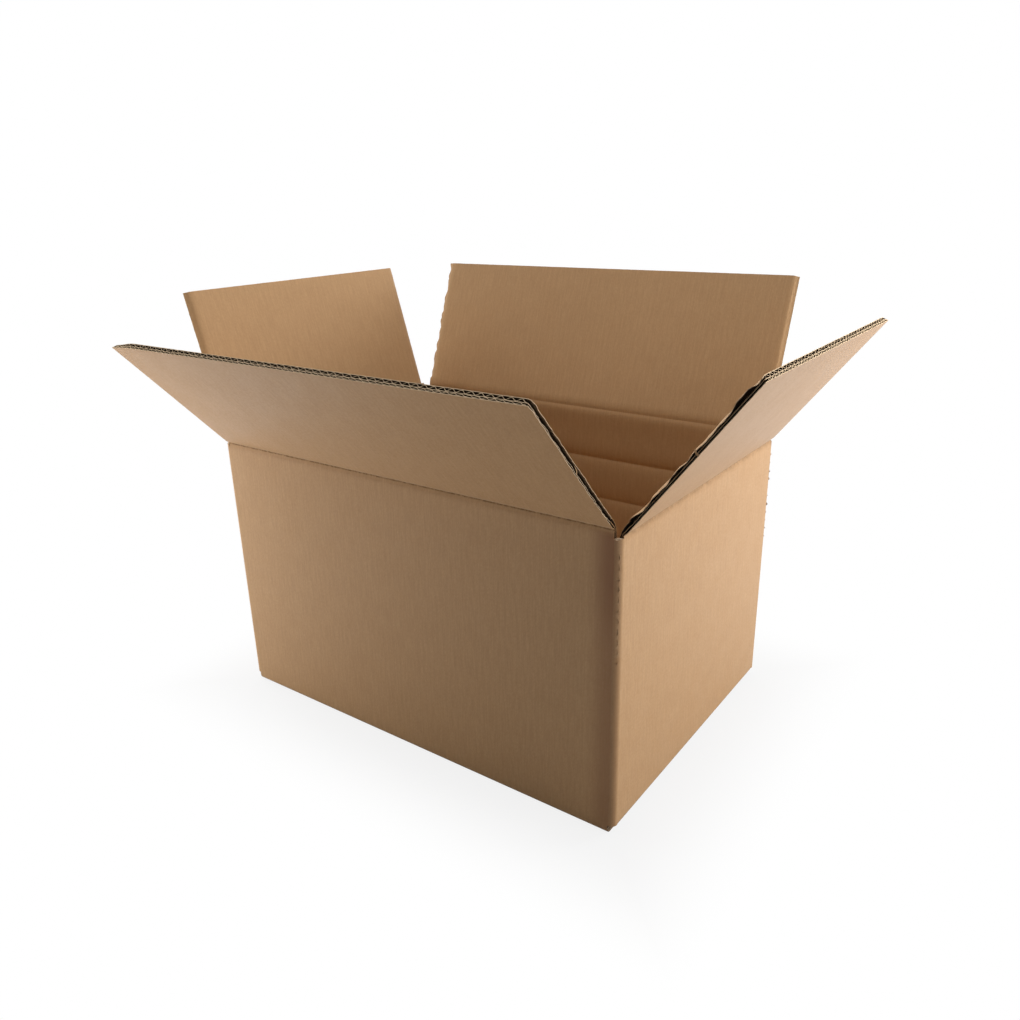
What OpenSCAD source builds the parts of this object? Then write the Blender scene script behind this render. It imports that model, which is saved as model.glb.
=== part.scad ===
// Open shipping box of double-wall corrugated board, in millimetres.
// One cut, creased and glued sheet makes the four walls and the closed bottom.
// Four top flaps stand open, each on its own fold line.
// The origin is the middle of the underside, on the ground, with +Z up.
// +X runs along the box's length and -Y is its front.

/* [Box] */
// Inside length, between the two end walls
inner_length = 465; // [320:1:700]
// Inside width, between the front and back walls
inner_width = 318.5; // [220:0.5:460]
// Inside height, from the floor to the closed end flaps
inner_height = 265; // [190:1:450]

/* [Board] */
// Thickness of each of the three flat papers
liner = 0.35; // [0.25:0.05:0.5]
// Thickness of the fluted papers
medium = 0.3; // [0.2:0.05:0.4]
// Height of the coarse flutes, on the inside of the box
coarse_height = 2.8; // [2.2:0.1:3.6]
// Pitch of the coarse flutes
coarse_pitch = 7.95; // [6.5:0.05:9.5]
// Height of the fine flutes, on the outside of the box
fine_height = 1.75; // [1.4:0.05:2.4]
// Pitch of the fine flutes
fine_pitch = 6.55; // [5:0.05:8]

/* [Flaps] */
// Lean of the front flap, outwards from upright, in degrees
front_lean_deg = 43; // [0:0.5:150]
// Lean of the right flap, outwards from upright, in degrees
right_lean_deg = 37.5; // [0:0.5:150]
// Lean of the back flap, outwards from upright, in degrees
back_lean_deg = 20.5; // [0:0.5:150]
// Lean of the left flap, outwards from upright, in degrees
left_lean_deg = 16; // [0:0.5:150]
// Gap where the front and back flaps meet, at the top and on the bottom
seam_gap = 0.5; // [0.2:0.1:4]
// Gap between the closed end flaps and the long flaps that lie on them
layer_gap = 0.3; // [0.1:0.1:2]

/* [Fold lines] */
// Depth of a fold line below the outer face of the board
fold_depth = 1; // [0.8:0.1:1.6]
// Gap across a fold line, between the crushed edge of the wall and that of the flap
fold_gap = 0.4; // [0.2:0.1:1]
// Widest angle that a flap folds out from upright, in degrees
open_limit_deg = 165; // [120:1:170]
// Angle that a flap folds in from upright to close, in degrees
closed_limit_deg = 90; // [85:1:95]
// Angle left free between board and board at either limit, in degrees
fold_margin_deg = 3; // [1:0.5:6]

/* [Height scores] */
// Distance from the top fold line down to the first extra score
score_drop = 59; // [30:1:80]
// Distance from one extra score to the next
score_spacing = 50; // [20:1:60]
// Number of extra scores inside each wall
score_count = 2; // [0:1:3]
// Width of a score
score_width = 5; // [2:0.5:10]
// Depth of a score
score_depth = 1.2; // [0.4:0.1:2]

/* [Corners] */
// Extra width of a corner slot past the end of the fold, on either side
slot_clear = 0.8; // [0.4:0.1:4]
// Depth of a top slot below the end flaps' fold line
slot_drop = 2; // [0.5:0.5:8]
// Height of the bottom slots above the ground
slot_rise = 9; // [7:0.5:20]
// Pitch of the perforation slits down a corner
slit_pitch = 9.3; // [7:0.1:14]
// Length of a perforation slit
slit_length = 5.5; // [2:0.5:6.5]
// Width of a perforation slit at the outer face
slit_width = 0.6; // [0.4:0.1:1.5]
// Depth of a perforation slit, which closes inwards like the knife that cut it
slit_depth = 4.8; // [1:0.1:5]

/* [Glue lap] */
// Width of the lap that is glued inside the back wall
lap_width = 36; // [20:1:60]
// Thickness of the lap, which is pressed thinner than the board
lap_thickness = 3; // [1.5:0.1:4.5]
// Distance that the lap's free edge stops short of its root, at the top and bottom
lap_taper = 14; // [0:1:40]
// Gap between the back wall's raw edge and the left face
raw_edge_gap = 0.5; // [0:0.1:3]

/* [Hidden] */
$fn = 48;

kraft = "#b8925f";
kraft_inside = "#a98355";

// Each wall faces outwards along -Y before it is turned to its own side
FRONT = 0;
RIGHT = 90;
BACK = 180;
LEFT = 270;

board = 3 * liner + coarse_height + fine_height;
fine_base = liner;
coarse_base = 2 * liner + fine_height;

outer_length = inner_length + 2 * board;
outer_width = inner_width + 2 * board;
half_length = outer_length / 2;
half_width = outer_width / 2;

// The closed end flaps cover the inside height, and the long flaps close over them
end_fold_z = 3 * board + inner_height - fold_depth;
long_fold_z = end_fold_z + board + layer_gap;
flap_length = half_width - fold_depth - seam_gap / 2;

slot_inset = board + slot_clear;
slot_floor = end_fold_z - slot_drop;
lowest_score = end_fold_z - score_drop - (score_count - 1) * score_spacing;

// Board thins to the fold line, so that it clears itself at both ends of the travel
inner_taper = (180 - closed_limit_deg - fold_margin_deg) / 2;
outer_taper = (180 - open_limit_deg - fold_margin_deg) / 2;
inner_run = (board - fold_depth) / tan(inner_taper);
outer_run = fold_depth / tan(outer_taper);

// Overlap that lets a cut pass clean through a surface
through = 1;

// Shared shapes

// Stands children on one side of the box: outer face at y = 0, inside towards +Y
module on_side(turn) {
    reach = turn == FRONT || turn == BACK ? half_width : half_length;
    rotate([0, 0, turn])
        translate([0, -reach, 0])
            children();
}

// Runs a profile of depth and height along x, from one end to the other
module run_along(from, to) {
    translate([from, 0, 0])
        rotate([90, 0, 90])
            linear_extrude(to - from)
                children();
}

// Quarter of a round fold, about the inner corner of the board
module quarter_fold() {
    intersection() {
        circle(r = board);
        translate([-board, -board])
            square(board);
    }
}

// Wall

function score_notch(z) = [
    [board, z + score_width / 2],
    [board - score_depth, z],
    [board, z - score_width / 2]
];

function score_notches(fold_z) = [
    for (i = [0 : 1 : score_count - 1])
        each score_notch(fold_z - score_drop - i * score_spacing)
];

// Section of a wall, from its bottom fold up to its top fold line
module wall_section(base_z, fold_z) {
    drop = fold_gap / 2;
    polygon(concat(
        [
            [0, base_z],
            [0, fold_z - outer_run],
            [fold_depth - drop * tan(outer_taper), fold_z - drop],
            [fold_depth + drop / tan(inner_taper), fold_z - drop],
            [board, fold_z - inner_run]
        ],
        score_notches(fold_z),
        [[board, base_z]]
    ));
}

// Section of a bottom flap and its fold, from the wall inwards
module bottom_section(base_z, reach) {
    translate([board, base_z])
        quarter_fold();
    translate([board, base_z - board])
        square([reach - board, board]);
}

module wall(turn, from, to, base_z, fold_z) {
    on_side(turn)
        run_along(from, to)
            wall_section(base_z, fold_z);
}

module bottom_flap(turn, from, to, base_z, reach) {
    on_side(turn)
        run_along(from, to)
            bottom_section(base_z, reach);
}

// The long walls carry the outer bottom flaps, and the end walls the inner ones
module walls_and_bottom() {
    long_end = half_length - board;
    long_flap_end = half_length - slot_inset;
    wide_end = half_width - board;
    wide_flap_end = half_width - slot_inset;
    long_reach = half_width - seam_gap / 2;
    end_reach = flap_length + fold_depth;

    wall(FRONT, -long_end, long_end, board, long_fold_z);
    bottom_flap(FRONT, -long_flap_end, long_flap_end, board, long_reach);
    wall(BACK, -long_end, half_length - raw_edge_gap, board, long_fold_z);
    bottom_flap(BACK, -long_flap_end, long_flap_end, board, long_reach);

    wall(RIGHT, -wide_end, wide_end, 2 * board, end_fold_z);
    bottom_flap(RIGHT, -wide_flap_end, wide_flap_end, 2 * board, end_reach);
    wall(LEFT, board - wide_end, wide_end, 2 * board, end_fold_z);
    bottom_flap(LEFT, board - wide_flap_end, wide_flap_end, 2 * board, end_reach);
}

// Upright round folds at the three creased corners, and the one that turns into the lap
module corner_folds() {
    fold_x = half_length - board;
    fold_y = half_width - board;
    height = slot_floor - slot_rise;
    for (fold = [[fold_x, fold_y, BACK], [fold_x, -fold_y, RIGHT], [-fold_x, -fold_y, FRONT]])
        translate([fold.x, fold.y, slot_rise])
            rotate([0, 0, fold.z])
                linear_extrude(height)
                    quarter_fold();
    translate([-fold_x, fold_y - board, slot_rise])
        rotate([0, 0, LEFT])
            linear_extrude(height)
                quarter_fold();
}

// Lap of the left wall, glued to the inside of the back wall
module glue_lap() {
    root = half_length - board;
    on_side(BACK)
        translate([0, board + lap_thickness, 0])
            rotate([90, 0, 0])
                linear_extrude(lap_thickness)
                    polygon([
                        [root, slot_rise],
                        [root, slot_floor],
                        [root - lap_width, slot_floor - lap_taper],
                        [root - lap_width, slot_rise + lap_taper]
                    ]);
}

// Cuts at the four corners that part one flap from the next
module corner_slots() {
    above = long_fold_z - slot_floor + through;
    for (side = [-1, 1], end = [-1, 1]) {
        joint = side > 0 && end < 0;
        wide = joint ? slot_inset + board : slot_inset;
        x = end > 0 ? half_length - slot_inset : -half_length - through;
        y = side > 0 ? half_width - wide : -half_width - through;
        for (level = [[slot_floor, above], [-through, slot_rise + through]])
            translate([x, y, level.x])
                cube([slot_inset + through, wide + through, level.y]);
    }
}

// Slits down the two right-hand corners, for cutting the box to a lower height
module corner_slits() {
    count = floor((slot_floor - lowest_score) / slit_pitch);
    outer = board + through;
    half_mouth = slit_width / 2 * (slit_depth + through) / slit_depth;
    for (side = [-1, 1], i = [0 : 1 : count - 1])
        translate([
            half_length - board,
            side * (half_width - board),
            slot_floor - i * slit_pitch - (slit_pitch + slit_length) / 2
        ])
            rotate([0, 0, atan2(side, 1)])
                linear_extrude(slit_length)
                    polygon([
                        [board - slit_depth, 0],
                        [outer, -half_mouth],
                        [outer, half_mouth]
                    ]);
}

// Flap

// Triangles of air between the flat papers, either side of one fluted paper
module flute_cells(from, to, base, height, pitch) {
    slope = atan(height / (pitch / 2));
    half_paper = medium / 2 / sin(slope);
    half_base = pitch / 2 - half_paper;
    rise = half_base * tan(slope);
    first = floor(from / pitch);
    last = ceil(to / pitch);
    for (i = [first : 1 : last]) {
        x = i * pitch;
        polygon([
            [x - half_base, base],
            [x + half_base, base],
            [x, base + rise]
        ]);
        polygon([
            [x + pitch / 2 + half_base, base + height],
            [x + pitch / 2 - half_base, base + height],
            [x + pitch / 2, base + height - rise]
        ]);
    }
}

// Section of a flap, from its fold line to its free edge
module flap_section() {
    difference() {
        polygon([
            [fold_depth, 0],
            [board, inner_run],
            [board, flap_length],
            [0, flap_length],
            [0, outer_run]
        ]);
        translate([fold_depth, 0])
            circle(d = fold_gap);
    }
}

// A flap upright on the ground: the flutes are open along its free edge and cut ends
module flap_board(from, to) {
    open_run = flap_length - outer_run + through;
    difference() {
        run_along(from, to)
            flap_section();
        translate([0, 0, outer_run])
            linear_extrude(open_run) {
                flute_cells(from, to, fine_base, fine_height, fine_pitch);
                flute_cells(from, to, coarse_base, coarse_height, coarse_pitch);
            }
    }
}

module flap(turn, from, to, fold_z, lean) {
    on_side(turn)
        translate([0, fold_depth, fold_z])
            rotate([lean, 0, 0])
                translate([0, -fold_depth, 0])
                    flap_board(from, to);
}

// Sub-parts

module body() {
    color(kraft)
        difference() {
            union() {
                walls_and_bottom();
                corner_folds();
                glue_lap();
            }
            corner_slots();
            corner_slits();
        }
}

module front_flap() {
    end = half_length - slot_inset;
    color(kraft_inside)
        flap(FRONT, -end, end, long_fold_z, front_lean_deg);
}

module back_flap() {
    end = half_length - slot_inset;
    color(kraft_inside)
        flap(BACK, -end, end, long_fold_z, back_lean_deg);
}

module left_flap() {
    end = half_width - slot_inset;
    color(kraft_inside)
        flap(LEFT, board - end, end, end_fold_z, left_lean_deg);
}

module right_flap() {
    end = half_width - slot_inset;
    color(kraft_inside)
        flap(RIGHT, -end, end, end_fold_z, right_lean_deg);
}

body();
front_flap();
back_flap();
left_flap();
right_flap();
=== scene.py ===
"""Looks of an open box of double-wall corrugated board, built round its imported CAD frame."""

import logging
import math
from dataclasses import dataclass
from enum import Enum
from typing import Callable, Iterable, Sequence

import bmesh
import bpy
from mathutils import Matrix, Vector


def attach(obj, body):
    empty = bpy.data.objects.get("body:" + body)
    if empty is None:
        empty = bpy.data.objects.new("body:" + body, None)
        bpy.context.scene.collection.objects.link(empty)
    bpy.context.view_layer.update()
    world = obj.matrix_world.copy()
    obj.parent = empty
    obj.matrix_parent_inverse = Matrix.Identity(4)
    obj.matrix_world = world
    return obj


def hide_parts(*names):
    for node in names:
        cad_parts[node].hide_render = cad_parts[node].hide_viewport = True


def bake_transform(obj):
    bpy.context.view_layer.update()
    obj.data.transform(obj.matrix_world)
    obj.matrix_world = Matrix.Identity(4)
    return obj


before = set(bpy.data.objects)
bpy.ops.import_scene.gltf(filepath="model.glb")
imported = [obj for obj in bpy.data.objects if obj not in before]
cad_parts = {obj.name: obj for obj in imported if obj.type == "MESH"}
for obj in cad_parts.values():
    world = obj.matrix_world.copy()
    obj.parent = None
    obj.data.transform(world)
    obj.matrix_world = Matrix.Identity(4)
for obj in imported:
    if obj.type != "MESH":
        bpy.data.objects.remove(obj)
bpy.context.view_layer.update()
LOG = logging.getLogger("box")

Object = bpy.types.Object
Material = bpy.types.Material
Socket = bpy.types.NodeSocket
Test = Callable[[Vector], bool]
Weight = Callable[[Vector], float]


class Side(Enum):
    """Side of the box, with the turn in degrees that brings the front there."""

    FRONT = 0
    RIGHT = 90
    BACK = 180
    LEFT = 270

    @property
    def is_long(self) -> bool:
        """True for the front and back walls."""
        return self in (Side.FRONT, Side.BACK)


class Ply(Enum):
    """Flat papers of the board, from its outer face inwards."""

    OUTER = "outer"
    MIDDLE = "middle"
    INNER = "inner"


class Paper(Enum):
    """Kinds of paper surface that the box shows."""

    OUTSIDE = "kraft_outside"
    INSIDE = "kraft_inside"
    EDGE = "cut_edge"
    RIM = "torn_rim"
    # Near-black paper inside the board: painted shade of the open flute channels.
    FLUTE = "flute_paper"
    PLIES = "cut_plies"


@dataclass(frozen=True)
class Board:
    """Layers of the double-wall board, in metres.

    The papers are a little thicker than in the CAD source, for the fuzz of their cut edges. The whole board
    and the pitches of its flutes are the same.
    """

    liner: float = 0.00048
    medium: float = 0.0004
    coarse_height: float = 0.00257
    coarse_pitch: float = 0.00795
    fine_height: float = 0.00159
    fine_pitch: float = 0.00655

    @property
    def thickness(self) -> float:
        """Thickness of the whole board."""
        return 3 * self.liner + self.coarse_height + self.fine_height

    @property
    def middle(self) -> float:
        """Depth of the middle liner's outer face below the outer face of the board."""
        return self.liner + self.fine_height

    def depth(self, ply: Ply) -> float:
        """Depth of a liner's outer face below the outer face of the board."""
        return {Ply.OUTER: 0.0, Ply.MIDDLE: self.middle, Ply.INNER: self.thickness - self.liner}[ply]


@dataclass(frozen=True)
class Plan:
    """Main sizes of the box, in metres, as the CAD source has them."""

    half_length: float = 0.2381
    half_width: float = 0.16485
    end_fold: float = 0.2808
    long_fold: float = 0.2867
    fold_depth: float = 0.001
    flap_length: float = 0.1636
    slot_inset: float = 0.0064
    slot_floor: float = 0.2788
    slot_rise: float = 0.009
    ring_top: float = 0.2708
    ring_base: float = 0.0112

    def reach(self, side: Side) -> float:
        """Distance from the middle of the box to the outer face of a wall."""
        return self.half_width if side.is_long else self.half_length

    def fold_z(self, side: Side) -> float:
        """Height of a wall's top fold line."""
        return self.long_fold if side.is_long else self.end_fold

    def stand(self, side: Side) -> Matrix:
        """Matrix that takes a wall drawn with its outer face at y = 0 to its side."""
        turn = Matrix.Rotation(math.radians(side.value), 4, "Z")
        return turn @ Matrix.Translation((0, -self.reach(side), 0))

    def lean(self, side: Side, degrees: float) -> Matrix:
        """Matrix that takes an upright flap, drawn from z = 0, to its lean on its fold line.

        Args:
            side: Side of the box that the flap is on.
            degrees: Lean outwards from upright.

        Returns:
            The matrix in the row frame.
        """
        fold = Matrix.Translation((0, self.fold_depth, self.fold_z(side)))
        turn = Matrix.Rotation(math.radians(degrees), 4, "X")
        return self.stand(side) @ fold @ turn @ Matrix.Translation((0, -self.fold_depth, 0))


@dataclass(frozen=True)
class Clouds:
    """Texture that pushes paper about.

    Attributes:
        size: Size of its features, in metres.
        travel: Largest travel from one side to the other, in metres.
        kind: Blender's name for the kind of texture.
    """

    size: float
    travel: float
    kind: str = "CLOUDS"


BOARD = Board()
PLAN = Plan()


# Modelling steps


def select_only(obj: Object) -> None:
    """Makes one object the only selected one, and the active one.

    Args:
        obj: Object to select.
    """
    bpy.ops.object.select_all(action="DESELECT")
    bpy.context.view_layer.objects.active = obj
    obj.select_set(True)


def start_edit(obj: Object) -> None:
    """Makes one object the only selected one and enters edit mode.

    Args:
        obj: Mesh object to edit.
    """
    select_only(obj)
    bpy.ops.object.mode_set(mode="EDIT")


def stop_edit() -> None:
    """Leaves edit mode."""
    bpy.ops.object.mode_set(mode="OBJECT")


def pick(obj: Object, test: Test, kind: str = "VERT") -> None:
    """Selects, in edit mode, the vertices, edges or faces whose middle passes a test.

    Args:
        obj: Mesh object in edit mode.
        test: Says whether a place belongs to the selection.
        kind: VERT, EDGE or FACE.
    """
    bpy.ops.mesh.select_mode(type=kind)
    bpy.ops.mesh.select_all(action="DESELECT")
    mesh = bmesh.from_edit_mesh(obj.data)
    if kind == "VERT":
        found = [v for v in mesh.verts if test(v.co)]
    elif kind == "EDGE":
        found = [e for e in mesh.edges if test((e.verts[0].co + e.verts[1].co) / 2)]
    else:
        found = [f for f in mesh.faces if test(f.calc_center_median())]
    for element in found:
        element.select_set(True)
    mesh.select_flush_mode()
    bmesh.update_edit_mesh(obj.data)


def apply_modifier(obj: Object, kind: str, **settings: object) -> None:
    """Adds a modifier, sets it and applies it.

    Args:
        obj: Mesh object in object mode.
        kind: Type of the modifier.
        settings: Values by the modifier's own names.
    """
    select_only(obj)
    modifier = obj.modifiers.new(kind.lower(), kind)
    for name, value in settings.items():
        setattr(modifier, name, value)
    bpy.ops.object.modifier_apply(modifier=modifier.name)


def nudge(obj: Object, direction: str, distance: float, weight: Weight) -> None:
    """Moves part of a mesh along an axis.

    Args:
        obj: Mesh object in object mode.
        direction: X, Y, Z or NORMAL.
        distance: Travel of a vertex of full weight, in metres.
        weight: Share of the travel, from 0 to 1, at a place.
    """
    weigh(obj, weight)
    apply_modifier(obj, "DISPLACE", direction=direction, strength=distance, mid_level=0, vertex_group="moved")
    obj.vertex_groups.clear()


def roughen(obj: Object, clouds: Clouds, direction: str, weight: Weight) -> None:
    """Pushes part of a mesh about with a texture.

    Args:
        obj: Mesh object in object mode.
        clouds: Size, travel and kind of the texture.
        direction: X, Y, Z or NORMAL.
        weight: Share of the travel, from 0 to 1, at a place.
    """
    weigh(obj, weight)
    texture = bpy.data.textures.new("clouds", clouds.kind)
    texture.noise_scale = clouds.size
    if clouds.kind == "CLOUDS":
        texture.noise_depth = 1
    apply_modifier(obj, "DISPLACE", texture=texture, texture_coords="LOCAL", direction=direction,
                   strength=clouds.travel, mid_level=0.5, vertex_group="moved")
    obj.vertex_groups.clear()


def weigh(obj: Object, weight: Weight) -> None:
    """Puts the vertices that a weight is above 0 for into the group "moved".

    Args:
        obj: Mesh object in object mode.
        weight: Gives the weight at a place.
    """
    moved = obj.vertex_groups.new(name="moved")
    for vertex in obj.data.vertices:
        share = weight(vertex.co)
        if share > 0:
            moved.add([vertex.index], min(share, 1.0), "REPLACE")


def settle(obj: Object, matrix: Matrix) -> None:
    """Takes an object to its place and puts the place into its mesh.

    Args:
        obj: Object at the origin.
        matrix: Place in the row frame.
    """
    select_only(obj)
    obj.matrix_world = matrix
    bpy.ops.object.transform_apply(location=True, rotation=True, scale=True)


def join(objects: Sequence[Object], name: str) -> Object:
    """Joins objects into the first one.

    Args:
        objects: Objects to join.
        name: Name of the joined object.

    Returns:
        The joined object.
    """
    bpy.ops.object.select_all(action="DESELECT")
    for obj in objects:
        obj.select_set(True)
    bpy.context.view_layer.objects.active = objects[0]
    bpy.ops.object.join()
    objects[0].name = name
    objects[0].data.name = name
    return objects[0]


def smooth(obj: Object, degrees: float) -> None:
    """Shades an object smooth up to an angle between faces.

    Args:
        obj: Mesh object in object mode.
        degrees: Largest angle that is shaded smooth.
    """
    select_only(obj)
    bpy.ops.object.shade_smooth_by_angle(angle=math.radians(degrees))


def upright_grid(name: str, low: Vector, high: Vector, columns: int, rows: int) -> Object:
    """Makes an upright sheet of faces that look towards -Y.

    Args:
        name: Name of the object.
        low: Corner with the least x and z, which gives y too.
        high: Corner with the greatest x and z.
        columns: Faces along x.
        rows: Faces along z.

    Returns:
        The sheet, with its place in its mesh.
    """
    bpy.ops.mesh.primitive_grid_add(x_subdivisions=columns, y_subdivisions=rows, size=1)
    obj = bpy.context.object
    obj.name = name
    middle = Vector(((low.x + high.x) / 2, low.y, (low.z + high.z) / 2))
    size = Matrix.Diagonal((high.x - low.x, high.z - low.z, 1, 1))
    settle(obj, Matrix.Translation(middle) @ Matrix.Rotation(math.pi / 2, 4, "X") @ size)
    return obj


def prism(name: str, profile: Sequence[tuple[float, float]], start: float, end: float, columns: int) -> Object:
    """Runs a closed profile along x.

    Args:
        name: Name of the object.
        profile: Points in y and z, in order round the profile.
        start: Least x.
        end: Greatest x.
        columns: Faces along x.

    Returns:
        The closed solid.
    """
    bpy.ops.mesh.primitive_circle_add(vertices=len(profile), radius=1, fill_type="NGON")
    obj = bpy.context.object
    obj.name = name
    for vertex, (y, z) in zip(obj.data.vertices, profile):
        vertex.co = (start, y, z)
    start_edit(obj)
    bpy.ops.mesh.select_all(action="SELECT")
    bpy.ops.mesh.extrude_region_move(TRANSFORM_OT_translate={"value": (end - start, 0, 0)})
    middle = (start + end) / 2
    pick(obj, lambda p: abs(p.x - middle) < 1e-6, "EDGE")
    if columns > 1:
        bpy.ops.mesh.subdivide(number_cuts=columns - 1)
    bpy.ops.mesh.select_all(action="SELECT")
    bpy.ops.mesh.normals_make_consistent(inside=False)
    stop_edit()
    return obj


def chart(obj: Object, place: Callable[[Vector, Vector], tuple[float, float]]) -> None:
    """Gives each corner of each face its place on the paper, in metres, as UV.

    Args:
        obj: Mesh object.
        place: Takes a vertex's place and its face's normal to u and v.
    """
    mesh = obj.data
    layer = mesh.uv_layers.get("paper") or mesh.uv_layers.new(name="paper")
    for face in mesh.polygons:
        for corner in face.loop_indices:
            vertex = mesh.vertices[mesh.loops[corner].vertex_index]
            layer.data[corner].uv = place(vertex.co, face.normal)


def paint(obj: Object, name: str, value: Callable[[Vector], float]) -> None:
    """Stores a value from 0 to 1 on each vertex.

    Args:
        obj: Mesh object.
        name: Name of the attribute.
        value: Gives the value at a place.
    """
    attribute = obj.data.attributes.get(name) or obj.data.attributes.new(name, "FLOAT", "POINT")
    attribute.data.foreach_set("value", [value(v.co) for v in obj.data.vertices])


def dress(obj: Object, materials: Sequence[Material], choose: Callable[[Vector, Vector], int]) -> None:
    """Gives each face one of a list of materials.

    Args:
        obj: Mesh object.
        materials: Materials of the object, in order.
        choose: Takes a face's middle and normal to an index into materials.
    """
    obj.data.materials.clear()
    for material in materials:
        obj.data.materials.append(material)
    for face in obj.data.polygons:
        face.material_index = choose(face.center, face.normal)


# Finishes


class Nodes:
    """Adds nodes to a node tree and links them in one call."""

    def __init__(self, tree: bpy.types.NodeTree) -> None:
        """Starts on an empty tree."""
        self.tree = tree
        tree.nodes.clear()

    def add(self, kind: str, inputs: dict[object, object] | None = None, **settings: object) -> bpy.types.Node:
        """Adds a node.

        Args:
            kind: Name of the node's type, without the leading ShaderNode or Node.
            inputs: Sockets by name or number, with a value or a socket to link.
            settings: Values by the node's own names.

        Returns:
            The node.
        """
        prefix = "" if kind.startswith("NodeGroup") else "ShaderNode"
        node = self.tree.nodes.new(prefix + kind)
        for name, value in settings.items():
            setattr(node, name, value)
        for name, value in (inputs or {}).items():
            self.put(node.inputs[name], value)
        return node

    def put(self, socket: Socket, value: object) -> None:
        """Links a socket to another, or sets its value.

        Args:
            socket: Input socket.
            value: Output socket to link, or a plain value.
        """
        if isinstance(value, bpy.types.NodeSocket):
            self.tree.links.new(value, socket)
        else:
            socket.default_value = value

    def math(self, operation: str, first: object, second: object = 0.0, clamp: bool = False) -> Socket:
        """Adds a sum, product or other operation and returns its result."""
        return self.add("Math", {0: first, 1: second}, operation=operation, use_clamp=clamp).outputs[0]

    def noise(self, vector: Socket, scale: float, detail: float = 2.0, rough: float = 0.55) -> Socket:
        """Adds a noise texture and returns its value."""
        inputs = {"Vector": vector, "Scale": scale, "Detail": detail, "Roughness": rough}
        return self.add("TexNoise", inputs).outputs["Fac"]

    def spread(self, value: object, low: float, high: float, to_low: float = 0.0, to_high: float = 1.0) -> Socket:
        """Maps a value from one range to another, smoothly and within it, and returns the result."""
        inputs = {"Value": value, 1: low, 2: high, 3: to_low, 4: to_high}
        return self.add("MapRange", inputs, interpolation_type="SMOOTHSTEP").outputs[0]

    def mix(self, share: object, first: object, second: object) -> Socket:
        """Mixes two colours and returns the result.

        Args:
            share: Share of the second colour.
            first: First colour.
            second: Second colour.

        Returns:
            The mixed colour.
        """
        node = self.add("Mix", data_type="RGBA")
        for socket, value in zip((node.inputs[0], node.inputs[6], node.inputs[7]), (share, first, second)):
            self.put(socket, value)
        return node.outputs[2]


def group_of(name: str, inputs: dict[str, str], outputs: dict[str, str]) -> tuple[bpy.types.NodeTree, Nodes]:
    """Starts a shader node group.

    Args:
        name: Name of the group.
        inputs: Kinds of the input sockets by name.
        outputs: Kinds of the output sockets by name.

    Returns:
        The group and a builder on it.
    """
    tree = bpy.data.node_groups.new(name, "ShaderNodeTree")
    for socket, kind in inputs.items():
        tree.interface.new_socket(socket, in_out="INPUT", socket_type=kind)
    for socket, kind in outputs.items():
        tree.interface.new_socket(socket, in_out="OUTPUT", socket_type=kind)
    return tree, Nodes(tree)


FLOAT = "NodeSocketFloat"
VECTOR = "NodeSocketVector"


def fibre_group() -> bpy.types.NodeTree:
    """Makes the group that gives paper its mottle, fibre streaks and specks.

    Returns:
        A group with masks and a height, read from a place on the paper in metres.
    """
    tree, nodes = group_of("paper_fibre", {"Place": VECTOR},
                           {"Mottle": FLOAT, "Streak": FLOAT, "Laid": FLOAT, "Speck": FLOAT, "Height": FLOAT})
    source = tree.nodes.new("NodeGroupInput")
    place = source.outputs["Place"]
    cloud = nodes.spread(nodes.noise(place, 38, 3), 0.3, 0.7)
    grain = nodes.spread(nodes.noise(place, 420, 3, 0.65), 0.32, 0.68)
    mottle = nodes.math("ADD", nodes.math("MULTIPLY", cloud, 0.3), nodes.math("MULTIPLY", grain, 0.7))
    turned = nodes.add("VectorRotate", {"Vector": place, "Angle": 0.5}, rotation_type="Z_AXIS").outputs[0]
    drawn = nodes.add("Mapping", {"Vector": turned, "Scale": (1100, 190, 1)}).outputs[0]
    streak = nodes.spread(nodes.noise(drawn, 1, 2), 0.35, 0.7)
    upright = nodes.add("Mapping", {"Vector": place, "Scale": (620, 45, 1)}).outputs[0]
    laid = nodes.spread(nodes.noise(upright, 1, 3, 0.6), 0.32, 0.68)
    speck = nodes.spread(nodes.noise(place, 900, 2, 0.7), 0.67, 0.74)
    fine = nodes.noise(place, 1500, 2)
    height = nodes.math("ADD", nodes.math("MULTIPLY", grain, 0.6), nodes.math("MULTIPLY", fine, 0.4))
    end = tree.nodes.new("NodeGroupOutput")
    for name, value in (("Mottle", mottle), ("Streak", streak), ("Laid", laid), ("Speck", speck),
                        ("Height", height)):
        nodes.put(end.inputs[name], value)
    return tree


def washboard_group() -> bpy.types.NodeTree:
    """Makes the group that shows the flutes faintly through the flat paper.

    Returns:
        A group with one band value from 0 to 1, read from a place on the paper and the flutes' pitch.
    """
    tree, nodes = group_of("washboard", {"Place": VECTOR, "Pitch": FLOAT}, {"Band": FLOAT})
    source = tree.nodes.new("NodeGroupInput")
    place = source.outputs["Place"]
    along = nodes.add("SeparateXYZ", {0: place}).outputs["X"]
    turns = nodes.math("DIVIDE", along, source.outputs["Pitch"])
    wave = nodes.math("SINE", nodes.math("MULTIPLY", turns, 2 * math.pi))
    drawn = nodes.add("Mapping", {"Vector": place, "Scale": (140, 9, 1)}).outputs[0]
    share = nodes.spread(nodes.noise(drawn, 1, 2), 0.3, 0.75)
    band = nodes.math("ADD", nodes.math("MULTIPLY", nodes.math("MULTIPLY", wave, share), 0.5), 0.5)
    end = tree.nodes.new("NodeGroupOutput")
    nodes.put(end.inputs["Band"], band)
    return tree


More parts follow.
